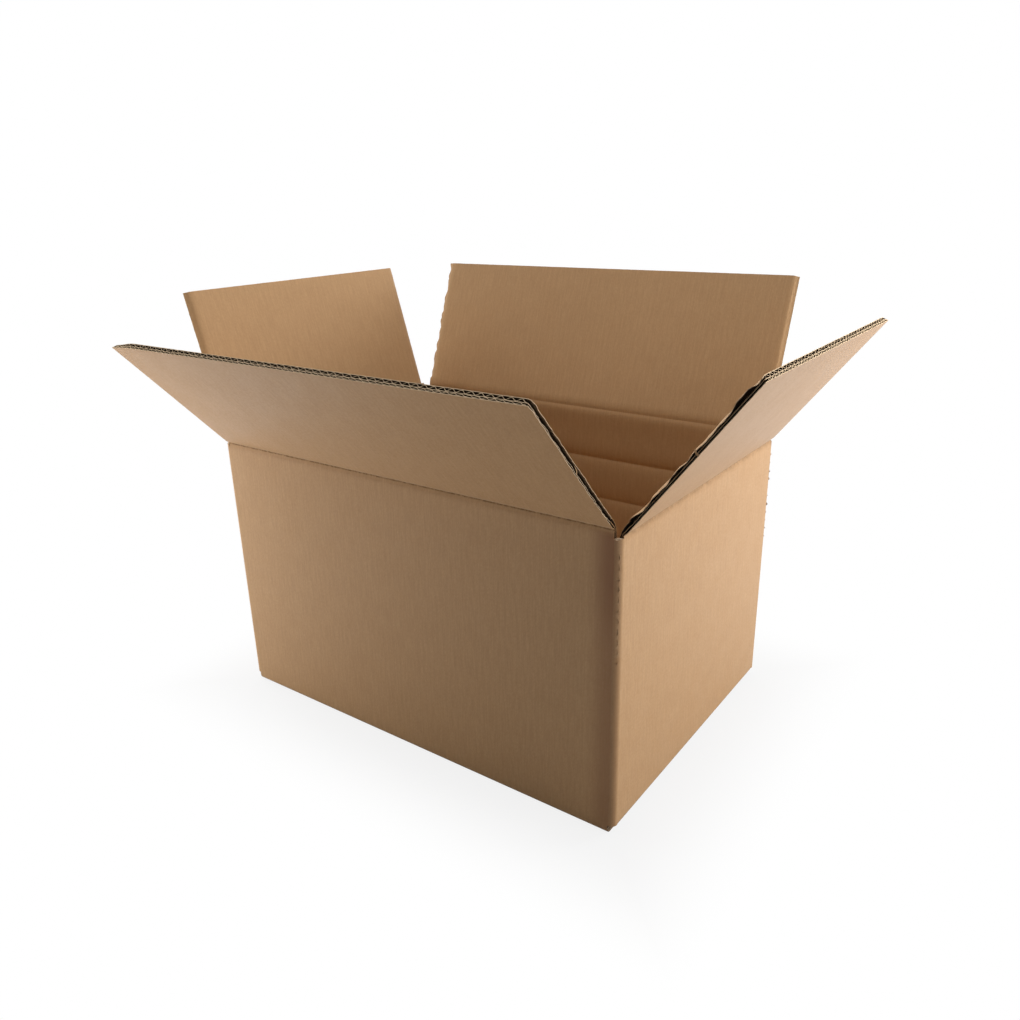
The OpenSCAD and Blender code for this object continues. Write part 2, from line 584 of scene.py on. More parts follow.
@dataclass(frozen=True)
class PaperFinish:
    """One kind of kraft paper.

    Attributes:
        paper: Which surface this is.
        colour: Main colour, linear.
        dark: Colour of the darker fibres, of the dark fold lines and of the painted shade.
        pale: Colour of the paler fibres and of scuffs.
        pitch: Pitch of the flutes that show through, in metres.
        band: Strength of those flutes in the colour.
        relief: Height of the surface relief, in metres.
        rough: Roughness.
        gloss: Share of light that the calendered face mirrors.
        sheen: Strength of the pale bloom of loose fibres at a low angle.
        mottle: Share of the dark colour in the mottle.
        streak: Share of the pale colour in the drawn fibres.
        laid: Share of the dark colour in the upright fibres.
        speck: Share of the dark colour in the specks.
        worn_and_shaded: Tone of the dark fold lines, partly their own mark and partly painted shade in their
            wrinkles, and of the painted shade on the back corner's torn lips, as a share of the dark colour.
        painted_shade: Tone of the painted shade in the band beside the front wall's right-hand corner, as shares of
            the dark colour's red, green and blue.
        frayed: Colour of torn fibres.
    """

    paper: Paper
    colour: tuple[float, float, float]
    dark: tuple[float, float, float]
    pale: tuple[float, float, float]
    pitch: float
    band: float
    relief: float
    rough: float
    gloss: float = 0.2
    sheen: float = 0.0
    mottle: float = 0.3
    streak: float = 0.22
    laid: float = 0.28
    speck: float = 0.35
    worn_and_shaded: float = 0.3
    painted_shade: tuple[float, float, float] = (0.72, 0.6, 0.56)
    frayed: tuple[float, float, float] = (0.60, 0.42, 0.25)

    def material(self, fibre: bpy.types.NodeTree, washboard: bpy.types.NodeTree) -> Material:
        """Makes the material.

        Args:
            fibre: Shared fibre group.
            washboard: Shared washboard group.

        Returns:
            The material, which reads the paper's own UV and the attributes wear (dark fold lines, with painted shade
            in their wrinkles and on the back corner's torn lips), shade (painted shade of the corner band) and fray
            (pale torn fibres).
        """
        material = bpy.data.materials.new(self.paper.value)
        material.use_nodes = True
        nodes = Nodes(material.node_tree)
        place = nodes.add("UVMap", uv_map="paper").outputs[0]
        wear_and_shade = nodes.add("Attribute", attribute_name="wear_and_shade").outputs["Fac"]
        fibres = nodes.add("Group", node_tree=fibre)
        nodes.put(fibres.inputs["Place"], place)
        waves = nodes.add("Group", node_tree=washboard)
        nodes.put(waves.inputs["Place"], place)
        nodes.put(waves.inputs["Pitch"], self.pitch)
        band = waves.outputs["Band"]

        main, dark, pale = ((*c, 1.0) for c in (self.colour, self.dark, self.pale))
        toned = main
        for mask, share, tone in ((fibres.outputs["Mottle"], self.mottle, dark),
                                  (fibres.outputs["Streak"], self.streak, pale),
                                  (fibres.outputs["Laid"], self.laid, dark),
                                  (fibres.outputs["Speck"], self.speck, dark), (band, self.band, dark)):
            toned = nodes.mix(nodes.math("MULTIPLY", mask, share), toned, tone)
        # Dark fold lines, partly their own mark and partly painted shade in their wrinkles, and painted shade on the
        # back corner's torn lips.
        broken = nodes.spread(nodes.noise(place, 160, 3, 0.7), 0.36, 0.62)
        worn_and_shaded = nodes.math("MULTIPLY", wear_and_shade, nodes.math("ADD", nodes.math("MULTIPLY", broken, 0.7), 0.3), True)
        worn_and_shaded_tone = (*(x * self.worn_and_shaded for x in self.dark), 1.0)
        toned = nodes.mix(nodes.math("MULTIPLY", worn_and_shaded, 0.85), toned, worn_and_shaded_tone)
        # Painted shade: the dark band beside the front wall's right-hand corner.
        shade = nodes.add("Attribute", attribute_name="shade").outputs["Fac"]
        shade_tone = (*(x * share for x, share in zip(self.dark, self.painted_shade)), 1.0)
        toned = nodes.mix(nodes.math("MULTIPLY", shade, 0.95), toned, shade_tone)
        fray = nodes.add("Attribute", attribute_name="fray").outputs["Fac"]
        flecks = nodes.spread(nodes.noise(place, 480, 3, 0.7), 0.4, 0.6)
        torn = nodes.math("MULTIPLY", fray, nodes.math("ADD", nodes.math("MULTIPLY", flecks, 0.7), 0.25))
        toned = nodes.mix(torn, toned, (*self.frayed, 1.0))

        relief = nodes.math("ADD", nodes.math("MULTIPLY", band, 0.7),
                            nodes.math("MULTIPLY", fibres.outputs["Height"], 0.3))
        bump = nodes.add("Bump", {"Height": relief, "Distance": self.relief, "Strength": 1.0})
        rough = nodes.spread(fibres.outputs["Mottle"], 0.0, 1.0, self.rough - 0.05, self.rough + 0.05)
        gloss = nodes.math("MULTIPLY", nodes.math("SUBTRACT", 1.0, worn_and_shaded), self.gloss)
        shader = nodes.add("BsdfPrincipled", {"Base Color": toned, "Roughness": rough, "Normal": bump.outputs[0],
                                              "Specular IOR Level": gloss, "Sheen Weight": self.sheen,
                                              "Sheen Roughness": 0.4})
        nodes.add("OutputMaterial", {"Surface": shader.outputs[0]})
        return material


@dataclass(frozen=True)
class PliesFinish:
    """Cut end of board that was pressed shut, with the pale liners showing as lines.

    Attributes:
        board: Layers of the board.
        pale: Colour of the liners.
        dark: Colour between them.
        dusty: Paler colour that the dark is mottled with.
    """

    board: Board
    pale: tuple[float, float, float] = (0.42, 0.30, 0.19)
    dark: tuple[float, float, float] = (0.10, 0.062, 0.035)
    dusty: tuple[float, float, float] = (0.2, 0.13, 0.075)

    def material(self, fibre: bpy.types.NodeTree) -> Material:
        """Makes the material, whose U runs through the board from its outer face.

        Args:
            fibre: Shared fibre group.

        Returns:
            The material.
        """
        material = bpy.data.materials.new(Paper.PLIES.value)
        material.use_nodes = True
        nodes = Nodes(material.node_tree)
        place = nodes.add("UVMap", uv_map="paper").outputs[0]
        fibres = nodes.add("Group", node_tree=fibre)
        nodes.put(fibres.inputs["Place"], place)
        through = nodes.add("SeparateXYZ", {0: place}).outputs["X"]
        shift = nodes.math("MULTIPLY", nodes.math("SUBTRACT", nodes.noise(place, 260, 2), 0.5), 0.0007)
        depth = nodes.math("ADD", through, shift)
        lines: object = 0.0
        for ply in Ply:
            off = nodes.math("ABSOLUTE", nodes.math("SUBTRACT", depth, self.board.depth(ply) + self.board.liner / 2))
            line = nodes.spread(off, 0.0002, 0.0005, 1.0, 0.0)
            lines = nodes.math("MAXIMUM", lines, line)
        mottle = nodes.math("MULTIPLY", fibres.outputs["Mottle"], 0.6)
        toned = nodes.mix(mottle, (*self.dark, 1), (*self.dusty, 1))
        toned = nodes.mix(lines, toned, (*self.pale, 1))
        bump = nodes.add("Bump", {"Height": lines, "Distance": 0.0006, "Strength": 1.0})
        shader = nodes.add("BsdfPrincipled", {"Base Color": toned, "Roughness": 0.85, "Normal": bump.outputs[0]})
        nodes.add("OutputMaterial", {"Surface": shader.outputs[0]})
        return material


def make_materials() -> dict[Paper, Material]:
    """Makes every paper of the box.

    Returns:
        The materials by kind of paper.
    """
    fibre = fibre_group()
    washboard = washboard_group()
    fine, coarse = BOARD.fine_pitch, BOARD.coarse_pitch
    relief = 0.00005
    finishes = (
        PaperFinish(Paper.OUTSIDE, (0.527, 0.319, 0.157), (0.355, 0.195, 0.088), (0.62, 0.405, 0.23), fine,
                    band=0.13, relief=relief, rough=0.42, gloss=0.3, sheen=0.06),
        PaperFinish(Paper.INSIDE, (0.53, 0.334, 0.175), (0.36, 0.21, 0.1), (0.62, 0.42, 0.235), coarse,
                    band=0.14, relief=relief, rough=0.5, gloss=0.25, sheen=0.05),
        PaperFinish(Paper.EDGE, (0.78, 0.59, 0.385), (0.62, 0.44, 0.27), (0.93, 0.74, 0.52), fine,
                    band=0.1, relief=relief, rough=0.85),
        PaperFinish(Paper.RIM, (0.62, 0.47, 0.31), (0.40, 0.28, 0.18), (0.76, 0.61, 0.44), fine,
                    band=0.1, relief=relief, rough=0.85),
        # Near-black: painted shade of the flute channels, on the fluted papers and on the liners' faces inside the
        # board.
        PaperFinish(Paper.FLUTE, (0.06, 0.034, 0.018), (0.034, 0.02, 0.011), (0.12, 0.075, 0.045), fine,
                    band=0.1, relief=relief, rough=0.85),
    )
    made = {f.paper: f.material(fibre, washboard) for f in finishes}
    made[Paper.PLIES] = PliesFinish(BOARD).material(fibre)
    return made


# Flaps


def ramp(value: float, low: float, high: float) -> float:
    """Rises smoothly from 0 at low to 1 at high, or falls where low is above high."""
    t = min(1.0, max(0.0, (value - low) / (high - low)))
    return t * t * (3 - 2 * t)


@dataclass(frozen=True)
class CornerShadeBand:
    """Painted shade in a band on the front wall, beside its right-hand corner.

    Attributes:
        edge: X at which the flat wall ends.
        begin: Distance before the edge at which the band begins.
        full: Distance before the edge at which it is full.
        corner_loss: Share of the dark that is lost on the round corner.
        corner_fade: Distance past the edge over which it is lost.
        stop: Distances past the edge between which the band ends.
        low: Share of the dark that is left in the lower part of the wall.
        rise: Heights between which it grows to the full dark.
    """

    edge: float = PLAN.half_length - PLAN.slot_inset
    begin: float = 0.024
    full: float = 0.002
    corner_loss: float = 0.45
    corner_fade: float = 0.002
    stop: tuple[float, float] = (0.0052, 0.0064)
    low: float = 0.62
    rise: tuple[float, float] = (0.17, 0.25)

    def dark(self, x: float, z: float) -> float:
        """Gives the dark of the band, from 0 to 1.

        Args:
            x: Place along the front wall.
            z: Height in the row frame.

        Returns:
            The dark, which is greatest at the top of the band.
        """
        near, far = (self.edge + stop for stop in self.stop)
        corner = 1 - self.corner_loss * ramp(x, self.edge, self.edge + self.corner_fade)
        along = ramp(x, self.edge - self.begin, self.edge - self.full) * corner * ramp(x, far, near)
        return along * (self.low + (1 - self.low) * ramp(z, *self.rise))


# Painted shade beside the front wall's right-hand corner, darkest at the top.
CORNER_SHADE = CornerShadeBand()


@dataclass(frozen=True)
class CutEnd:
    """Look of a flap's cut end.

    Attributes:
        tear: Tear of the liners' edges.
        wave: Waves of the inner liner's edge along the flap.
        peel: Lift of the inner liner off the flutes.
        recess: Distance that the flutes stop short of the liners, in metres.
        sunk: Distance that the middle liner stops short of the outer one, in metres.
        short: Distance that the inner liner stops short of the outer one, in metres.
        fray: Share of pale torn fibres along the inner liner's edge.
        roll: Distance that the inner liner's edge rolls over the flutes, in metres.
        pinch: Share of the board's thickness that the knife pressed shut.
        run: Length of the pressed part, in metres.
        tear_reach: Distance from the end over which the tear fades, in metres.
        roll_reach: The same for the roll.
        wave_reach: The same for the waves.
        peel_reach: The same for the lift.
        fray_reach: Distances from the end between which the torn fibres fade, in metres.
    """

    tear: Clouds = Clouds(0.005, 0.0006)
    wave: Clouds | None = None
    peel: Clouds | None = None
    recess: float = 0.005
    sunk: float = 0.0
    short: float = 0.0
    fray: float = 0.0
    roll: float = 0.0
    pinch: float = 0.86
    run: float = 0.0055
    tear_reach: float = 0.0022
    roll_reach: float = 0.0028
    wave_reach: float = 0.012
    peel_reach: float = 0.009
    fray_reach: tuple[float, float] = (0.0014, 0.003)

    def torn(self, off: float) -> float:
        """Share of pale torn fibres on the inner liner at a distance from the end."""
        near, far = self.fray_reach
        return self.fray * ramp(off, far, near)

    def back(self, ply: Ply) -> float:
        """Distance that a liner stops short of the outer one."""
        return {Ply.OUTER: 0.0, Ply.MIDDLE: self.sunk, Ply.INNER: self.short}[ply]


@dataclass(frozen=True)
class Crush:
    """Crushed corner of a free edge.

    Attributes:
        place: X of the corner.
        reach: Distance over which the crush fades, in metres.
        share: Share of the thickness that is gone at the corner.
        drop: Distance that the corner is knocked back towards the fold line, in metres.
    """

    place: float
    reach: float
    share: float
    drop: float


@dataclass(frozen=True)
class Shred:
    """Loose shred of paper in a flap's open cut end.

    Attributes:
        x: Place of the cut end.
        z: Distance from the fold line.
        start: Depth in the board at which it begins.
        end: Depth at which it ends.
        width: Width at its start, in metres.
        climb: Rise from its start to its end, in metres.
    """

    x: float
    z: float
    start: float
    end: float
    width: float
    climb: float

    def build(self, name: str, materials: dict[Paper, Material]) -> Object:
        """Builds the shred as a thin curled sheet across the cut end.

        Args:
            name: Name of the sheet.
            materials: Materials by kind of paper.

        Returns:
            The closed sheet.
        """
        bpy.ops.mesh.primitive_grid_add(x_subdivisions=6, y_subdivisions=2, size=1)
        sheet = bpy.context.object
        sheet.name = name
        for vertex in sheet.data.vertices:
            t = vertex.co.x + 0.5
            curl = 0.0007 * math.sin(math.pi * t) * math.copysign(1.0, self.x)
            vertex.co = (self.x + curl, self.start + (self.end - self.start) * t,
                         self.z + self.climb * t + vertex.co.y * self.width * (1 - 0.5 * t))
        roughen(sheet, Clouds(0.003, 0.0012), "Z", lambda p: 1.0)
        apply_modifier(sheet, "SOLIDIFY", thickness=0.0003, offset=0)
        dress(sheet, [materials[Paper.INSIDE]], lambda c, n: 0)
        return sheet


def finish_ply(sheet: Object, ply: Ply, materials: dict[Paper, Material], rim_paper: Paper = Paper.EDGE) -> None:
    """Thickens a sheet into a liner and dresses its faces and rim.

    Args:
        sheet: Sheet whose faces look outwards from the box.
        ply: Which liner it is.
        materials: Materials by kind of paper.
        rim_paper: Paper of the rim.
    """
    for _ in range(2):
        sheet.data.materials.append(None)
    apply_modifier(sheet, "SOLIDIFY", thickness=BOARD.liner, offset=-1, material_offset_rim=1)
    rim = [f.material_index == 1 for f in sheet.data.polygons]
    papers = (Paper.OUTSIDE, Paper.INSIDE, rim_paper, Paper.FLUTE, Paper.RIM)
    # Faces inside the board take the near-black paper of painted channel shade.
    dress(sheet, [materials[p] for p in papers], lambda c, n: 3)
    for face, on_rim in zip(sheet.data.polygons, rim):
        if on_rim:
            face.material_index = 4 if rim_paper is Paper.EDGE and abs(face.normal.x) > 0.7 else 2
        elif ply is Ply.OUTER and face.normal.y < 0:
            face.material_index = 0
        elif ply is Ply.INNER and face.normal.y > 0:
            face.material_index = 1


@dataclass
class FlapBoard:
    """Open board of a flap: three liners and two fluted papers, with open edges.

    Attributes:
        name: Start of the names of its pieces.
        start: Least x along the fold line, before it is placed.
        end: Greatest x.
        root: Distance from the fold line to the first open flute.
        length: Distance from the fold line to the free edge.
        low: Look of the cut end at start.
        high: Look of the cut end at end.
        shift: Place of the paper's pattern.
        crush: Crushed corner of the free edge, if it has one.
        shreds: Loose shreds in its cut ends.
        step: Length of a face along the fold line.
        rise: Height of a face.
        cuts: Distances from a cut end of the extra lines of edges beside it.
        wobble: Crush of the liners along the free edge.
        flute_faces: Faces along one flute.
        flute_rows: Distances from the free edge of the lines of edges across the flutes.
        flute_lean: Sideways crush of the flutes at the free edge.
        flute_wobble: Uneven height of the flutes at the free edge.
    """

    name: str
    start: float
    end: float
    root: float
    length: float
    low: CutEnd
    high: CutEnd
    shift: float
    crush: Crush | None = None
    shreds: tuple[Shred, ...] = ()
    step: float = 0.005
    rise: float = 0.0025
    cuts: tuple[float, ...] = (0.0015, 0.003)
    wobble: float = 0.0003
    flute_faces: int = 12
    flute_rows: tuple[float, ...] = (0.03, 0.009, 0.003, 0.001)
    flute_lean: Clouds = Clouds(0.006, 0.0004)
    flute_wobble: Clouds = Clouds(0.009, 0.0007)

    @staticmethod
    def spread(depth: float) -> float:
        """Share by which a texture is stretched at a depth, so that no two liners match."""
        return 1 + 60 * depth

    def liner(self, ply: Ply, materials: dict[Paper, Material]) -> Object:
        """Builds one flat paper, with its cut ends and a slightly crushed free edge.

        Args:
            ply: Which liner it is.
            materials: Materials by kind of paper.

        Returns:
            The paper as a closed sheet.
        """
        depth = BOARD.depth(ply)
        start = self.start + self.low.back(ply)
        end = self.end - self.high.back(ply)
        columns = round((end - start) / self.step)
        rows = round((self.length - self.root) / self.rise)
        sheet = upright_grid(f"{self.name}_{ply.value}", Vector((start, depth, self.root)),
                             Vector((end, depth, self.length)), columns, rows)
        start_edit(sheet)
        for x in (*(start + c for c in self.cuts), *(end - c for c in self.cuts[::-1])):
            bpy.ops.mesh.select_all(action="SELECT")
            bpy.ops.mesh.bisect(plane_co=(x, 0, 0), plane_no=(1, 0, 0))
        stop_edit()
        self._cut_ends(sheet, ply, start, end)
        top = self.length - self.rise / 2
        roughen(sheet, Clouds(0.005, self.wobble), "Z", lambda p: float(p.z > top))
        roughen(sheet, Clouds(0.004 * self.spread(depth), self.wobble), "Y", lambda p: float(p.z > top))
        self._press(sheet)
        finish_ply(sheet, ply, materials)
        return sheet

    def _cut_ends(self, sheet: Object, ply: Ply, start: float, end: float) -> None:
        """Tears the ends of a liner.

        Args:
            sheet: The liner, still flat.
            ply: Which liner it is.
            start: Its least x.
            end: Its greatest x.
        """
        depth = BOARD.depth(ply)
        if ply is Ply.INNER:
            paint(sheet, "fray", lambda p: self.low.torn(p.x - start) + self.high.torn(end - p.x))
        for cut, x, out in ((self.low, start, -1), (self.high, end, 1)):
            tear = Clouds(cut.tear.size * self.spread(depth), cut.tear.travel * -out, cut.tear.kind)
            roughen(sheet, tear, "X", lambda p: ramp(abs(p.x - x), cut.tear_reach, 0))
            if ply is Ply.INNER and cut.roll:
                nudge(sheet, "Y", -cut.roll, lambda p: ramp(abs(p.x - x), cut.roll_reach, 0))
            if ply is Ply.INNER and cut.wave:
                roughen(sheet, Clouds(cut.wave.size, cut.wave.travel * out, cut.wave.kind), "X",
                        lambda p: ramp(abs(p.x - x), cut.wave_reach, 0))
            if ply is Ply.INNER and cut.peel:
                roughen(sheet, cut.peel, "Y", lambda p: ramp(abs(p.x - x), cut.peel_reach, 0))

    def _press(self, sheet: Object) -> None:
        """Presses the cut ends and the crushed corner towards the outer face.

        Args:
            sheet: Liner or fluted paper, still upright.
        """
        for cut, x in ((self.low, self.start), (self.high, self.end)):
            if cut.pinch:
                nudge(sheet, "Y", -BOARD.thickness * cut.pinch,
                      lambda p: ramp(abs(p.x - x), cut.run, 0) * max(0.0, p.y) / BOARD.thickness)
        if self.crush:
            crush = self.crush

            def near(p: Vector) -> float:
                """Nearness of a place to the crushed corner, from 0 to 1."""
                return ramp(math.hypot(p.x - crush.place, p.z - self.length), crush.reach, 0)

            nudge(sheet, "Y", -BOARD.thickness * crush.share, lambda p: near(p) * max(0.0, p.y) / BOARD.thickness)
            nudge(sheet, "Z", -crush.drop, near)

    def fluted(self, layer: str, middle: float, height: float, pitch: float,
               materials: dict[Paper, Material]) -> Object:
        """Builds one fluted paper from a single flute.

        Args:
            layer: Name of the layer.
            middle: Depth of the middle of the flutes in the board.
            height: Height between the liners.
            pitch: Pitch of the flutes.
            materials: Materials by kind of paper.

        Returns:
            The fluted paper as a closed sheet.
        """
        columns, rows = self.flute_faces, len(self.flute_rows) + 1
        low = self.start + self.low.recess
        high = self.end - self.high.recess
        first = math.floor(low / pitch) * pitch
        count = math.ceil((high - first) / pitch) + 1
        sheet = upright_grid(f"{self.name}_{layer}", Vector((first, middle, self.root)),
                             Vector((first + pitch, middle, self.length)), columns, rows)
        start_edit(sheet)
        for row, back in enumerate(self.flute_rows):
            z = self.root + (self.length - self.root) * (row + 1) / rows
            pick(sheet, lambda p: abs(p.z - z) < 1e-5)
            bpy.ops.transform.translate(value=(0, 0, self.length - back - z))
        swing = (height - BOARD.medium) / 2
        for column in range(columns + 1):
            x = first + pitch * column / columns
            pick(sheet, lambda p: abs(p.x - x) < 1e-5)
            bpy.ops.transform.translate(value=(0, swing * math.sin(2 * math.pi * column / columns), 0))
        stop_edit()
        apply_modifier(sheet, "ARRAY", count=count, use_relative_offset=False, use_constant_offset=True,
                       constant_offset_displace=(pitch, 0, 0), use_merge_vertices=True, merge_threshold=1e-5)
        start_edit(sheet)
        for x, facing in ((low, -1), (high, 1)):
            bpy.ops.mesh.select_all(action="SELECT")
            bpy.ops.mesh.bisect(plane_co=(x, 0, 0), plane_no=(facing, 0, 0), clear_outer=True)
        stop_edit()
        roughen(sheet, self.flute_lean, "Y", lambda p: float(p.z > self.length - 0.002))
        roughen(sheet, self.flute_wobble, "Z", lambda p: float(p.z > self.length - 0.0005))
        self._press(sheet)
        # The flutes take the near-black paper of painted channel shade.
        for paper in (Paper.FLUTE, Paper.EDGE):
            sheet.data.materials.append(materials[paper])
        apply_modifier(sheet, "SOLIDIFY", thickness=BOARD.medium, offset=0, material_offset_rim=1)
        smooth(sheet, 50)
        return sheet

    def build(self, materials: dict[Paper, Material]) -> tuple[Object, Object]:
        """Builds the liners and the flutes, upright on the fold line.

        Args:
            materials: Materials by kind of paper.

        Returns:
            The liners and the fluted papers.
        """
        shreds = [shred.build(f"{self.name}_shred", materials) for shred in self.shreds]
        liners = join([*(self.liner(ply, materials) for ply in Ply), *shreds], f"{self.name}_liners")
        fine = self.fluted("fine", BOARD.liner + BOARD.fine_height / 2, BOARD.fine_height, BOARD.fine_pitch,
                           materials)
        coarse = self.fluted("coarse", BOARD.middle + BOARD.liner + BOARD.coarse_height / 2,
                             BOARD.coarse_height, BOARD.coarse_pitch, materials)
        flutes = join([fine, coarse], f"{self.name}_flutes")
        smooth(liners, 40)
        for obj in (liners, flutes):
            chart(obj, lambda p, n: (p.x + self.shift, p.z + 1.0))
        return liners, flutes


@dataclass
class Crease:
    """Board along a fold line, from the wall below it to the flap above it.

    Attributes:
        name: Name of the piece.
        start: Least x along the fold line, before it is placed.
        end: Greatest x.
        below: Distance that it reaches down the wall.
        above: Distance that it reaches up the flap.
        shift: Place of the paper's pattern.
        wear_and_shade: Dark of the outer fold line, partly its own mark and partly painted shade in its wrinkle,
            from 0 to 1.
        line: Breadth of that dark line.
        painted_shade: True where the wall below has the band of painted shade beside its right-hand corner.
        bend: Half of the height over which it bends.
        skin: Depth down to which a place is on the outer liner.
        levels: Distances from the fold line of the lines of edges along it.
        dent: Depths of the outer face's dent at the levels.
        groove: Depths of the inner face's groove at the levels.
    """

    name: str
    start: float
    end: float
    below: float
    above: float
    shift: float
    wear_and_shade: float
    line: float
    painted_shade: bool = False
    bend: float = 0.004
    skin: float = 0.0016
    levels: tuple[float, ...] = (0.0, 0.0003, 0.0008, 0.0015, 0.0025, 0.004, 0.0065, 0.0095)
    dent: tuple[float, ...] = (0.00095, 0.00085, 0.00065, 0.00045, 0.00028, 0.00014, 0.00005, 0.0)
    groove: tuple[float, ...] = (0.0016, 0.00157, 0.00146, 0.00122, 0.00085, 0.00042, 0.00012, 0.0)

    def sheet(self, ply: Ply, materials: dict[Paper, Material]) -> Object:
        """Builds one liner of the strip, upright.

        Args:
            ply: Which liner it is.
            materials: Materials by kind of paper.

        Returns:
            The liner as a closed sheet.
        """
        depth = BOARD.depth(ply)
        steps = {Ply.OUTER: self.dent, Ply.MIDDLE: (0.0,) * len(self.dent),
                 Ply.INNER: tuple(-g for g in self.groove)}[ply]
        rows = [(-self.below, 0.0), *((-z, d) for z, d in zip(self.levels[::-1], steps[::-1])),
                *((z, d) for z, d in zip(self.levels[1:], steps[1:])), (self.above, 0.0)]
        count = len(rows) - 1
        columns = round((self.end - self.start) / 0.004)
        sheet = upright_grid(f"{self.name}_{ply.value}", Vector((self.start, depth, 1.0)),
                             Vector((self.end, depth, 2.0)), columns, count)
        start_edit(sheet)
        for row, (z, move) in enumerate(rows):
            level = 1 + row / count
            pick(sheet, lambda p: abs(p.z - level) < 1e-4)
            bpy.ops.transform.translate(value=(0, move, z - level))
        stop_edit()
        if ply is Ply.OUTER:
            roughen(sheet, Clouds(0.012, 0.0016), "Z", lambda p: ramp(abs(p.z), 0.002, 0))
            roughen(sheet, Clouds(0.007, 0.0006), "Y", lambda p: ramp(abs(p.z), 0.003, 0))
        finish_ply(sheet, ply, materials, Paper.OUTSIDE)
        return sheet

    def build(self, materials: dict[Paper, Material], degrees: float) -> Object:
        """Builds the strip and folds it to the flap's lean.

        Args:
            materials: Materials by kind of paper.
            degrees: Lean of the flap, outwards from upright.

        Returns:
            The strip, with z = 0 on the fold line.
        """
        strip = join([self.sheet(ply, materials) for ply in Ply], self.name)
        chart(strip, lambda p, n: (p.x + self.shift, p.z + 1.0))
        # Dark fold line, partly its own mark and partly painted shade in its wrinkle.
        paint(strip, "wear_and_shade", self._fold_line_wear_and_shade)
        # Painted shade of the corner band, carried up to the fold line.
        if self.painted_shade:
            paint(strip, "shade", lambda p: CORNER_SHADE.dark(p.x, PLAN.long_fold) * ramp(p.z, 0.0, -0.006)
                  * float(p.y < self.skin))
        smooth(strip, 50)
        self._fold(strip, degrees)
        return strip

    def _fold_line_wear_and_shade(self, p: Vector) -> float:
        """Dark of the wrinkled outer fold line, partly its own mark and partly painted shade in the wrinkle, softer
        where it is fainter, and of the smudge below it.

        Args:
            p: Place on the strip, before it is folded.

        Returns:
            The dark, from 0 to 1.
        """
        if p.y > self.skin:
            return 0.0
        line = math.exp(-((p.z + 0.0002) / self.line) ** 2)
        smudge = 0.16 * math.exp(-((p.z + 0.004) / 0.0022) ** 2)
        return self.wear_and_shade * min(1.0, line + smudge)

    def _fold(self, strip: Object, degrees: float) -> None:
        """Turns each row of the strip about the fold line by its share of the lean.

        Args:
            strip: The strip, upright.
            degrees: Lean of the flap, outwards from upright.
        """
        turns: dict[float, list[int]] = {}
        for vertex in strip.data.vertices:
            turns.setdefault(round(ramp(vertex.co.z, -self.bend, self.bend), 2), []).append(vertex.index)
        start_edit(strip)
        bpy.ops.mesh.select_mode(type="VERT")
        for share, members in turns.items():
            bpy.ops.mesh.select_all(action="DESELECT")
            mesh = bmesh.from_edit_mesh(strip.data)
            mesh.verts.ensure_lookup_table()
            for index in members:
                mesh.verts[index].select_set(True)
            bmesh.update_edit_mesh(strip.data)
            bpy.ops.transform.rotate(value=-math.radians(degrees) * share, orient_axis="X",
                                     center_override=(0, PLAN.fold_depth, 0))
        stop_edit()


@dataclass
class Flap:
    """One top flap with its fold line.

    Attributes:
        name: Name of its CAD node and body.
        side: Side of the box that it is on.
        degrees: Lean outwards from upright.
        start: Least x along its fold line, before it is placed.
        end: Greatest x.
        low: Look of the cut end at start.
        high: Look of the cut end at end.
        wear_and_shade: Dark of the outer fold line, partly its own mark and partly painted shade in its wrinkle,
            from 0 to 1.
        line: Breadth of that dark line.
        crush: Crushed corner of the free edge, if it has one.
        shreds: Loose shreds in its cut ends.
        root: Distance from the fold line to the first open flute.
        overlap: Distance that the crease runs on past it.
    """

    name: str
    side: Side
    degrees: float
    start: float
    end: float
    low: CutEnd
    high: CutEnd
    wear_and_shade: float
    line: float = 0.0026
    crush: Crush | None = None
    shreds: tuple[Shred, ...] = ()
    root: float = 0.01
    overlap: float = 0.0002

    def build(self, materials: dict[Paper, Material]) -> list[Object]:
        """Builds the flap's pieces and places them, tying its liners and flutes to the CAD body.

        Args:
            materials: Materials by kind of paper.

        Returns:
            The pieces.
        """
        shift = self.side.value / 90
        board = FlapBoard(self.name, self.start, self.end, self.root, PLAN.flap_length, self.low, self.high,
                          shift, self.crush, self.shreds)
        pieces = list(board.build(materials))
        for piece in pieces:
            settle(piece, PLAN.lean(self.side, self.degrees))
            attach(piece, self.name)
        fold = PLAN.fold_z(self.side)
        crease = Crease(f"{self.name}_crease", self.start, self.end, below=fold - PLAN.ring_top,
                        above=self.root + self.overlap, shift=shift, wear_and_shade=self.wear_and_shade, line=self.line,
                        painted_shade=self.side is Side.FRONT)
        strip = crease.build(materials, self.degrees)
        place = PLAN.stand(self.side) @ Matrix.Translation((0, 0, fold))
        settle(strip, place)
        above = PLAN.lean(self.side, self.degrees) @ Vector((0, PLAN.fold_depth, crease.bend))
        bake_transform(strip)
        for piece in (*pieces, strip):
            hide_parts(self.name)
        return [*pieces, strip]


# Body


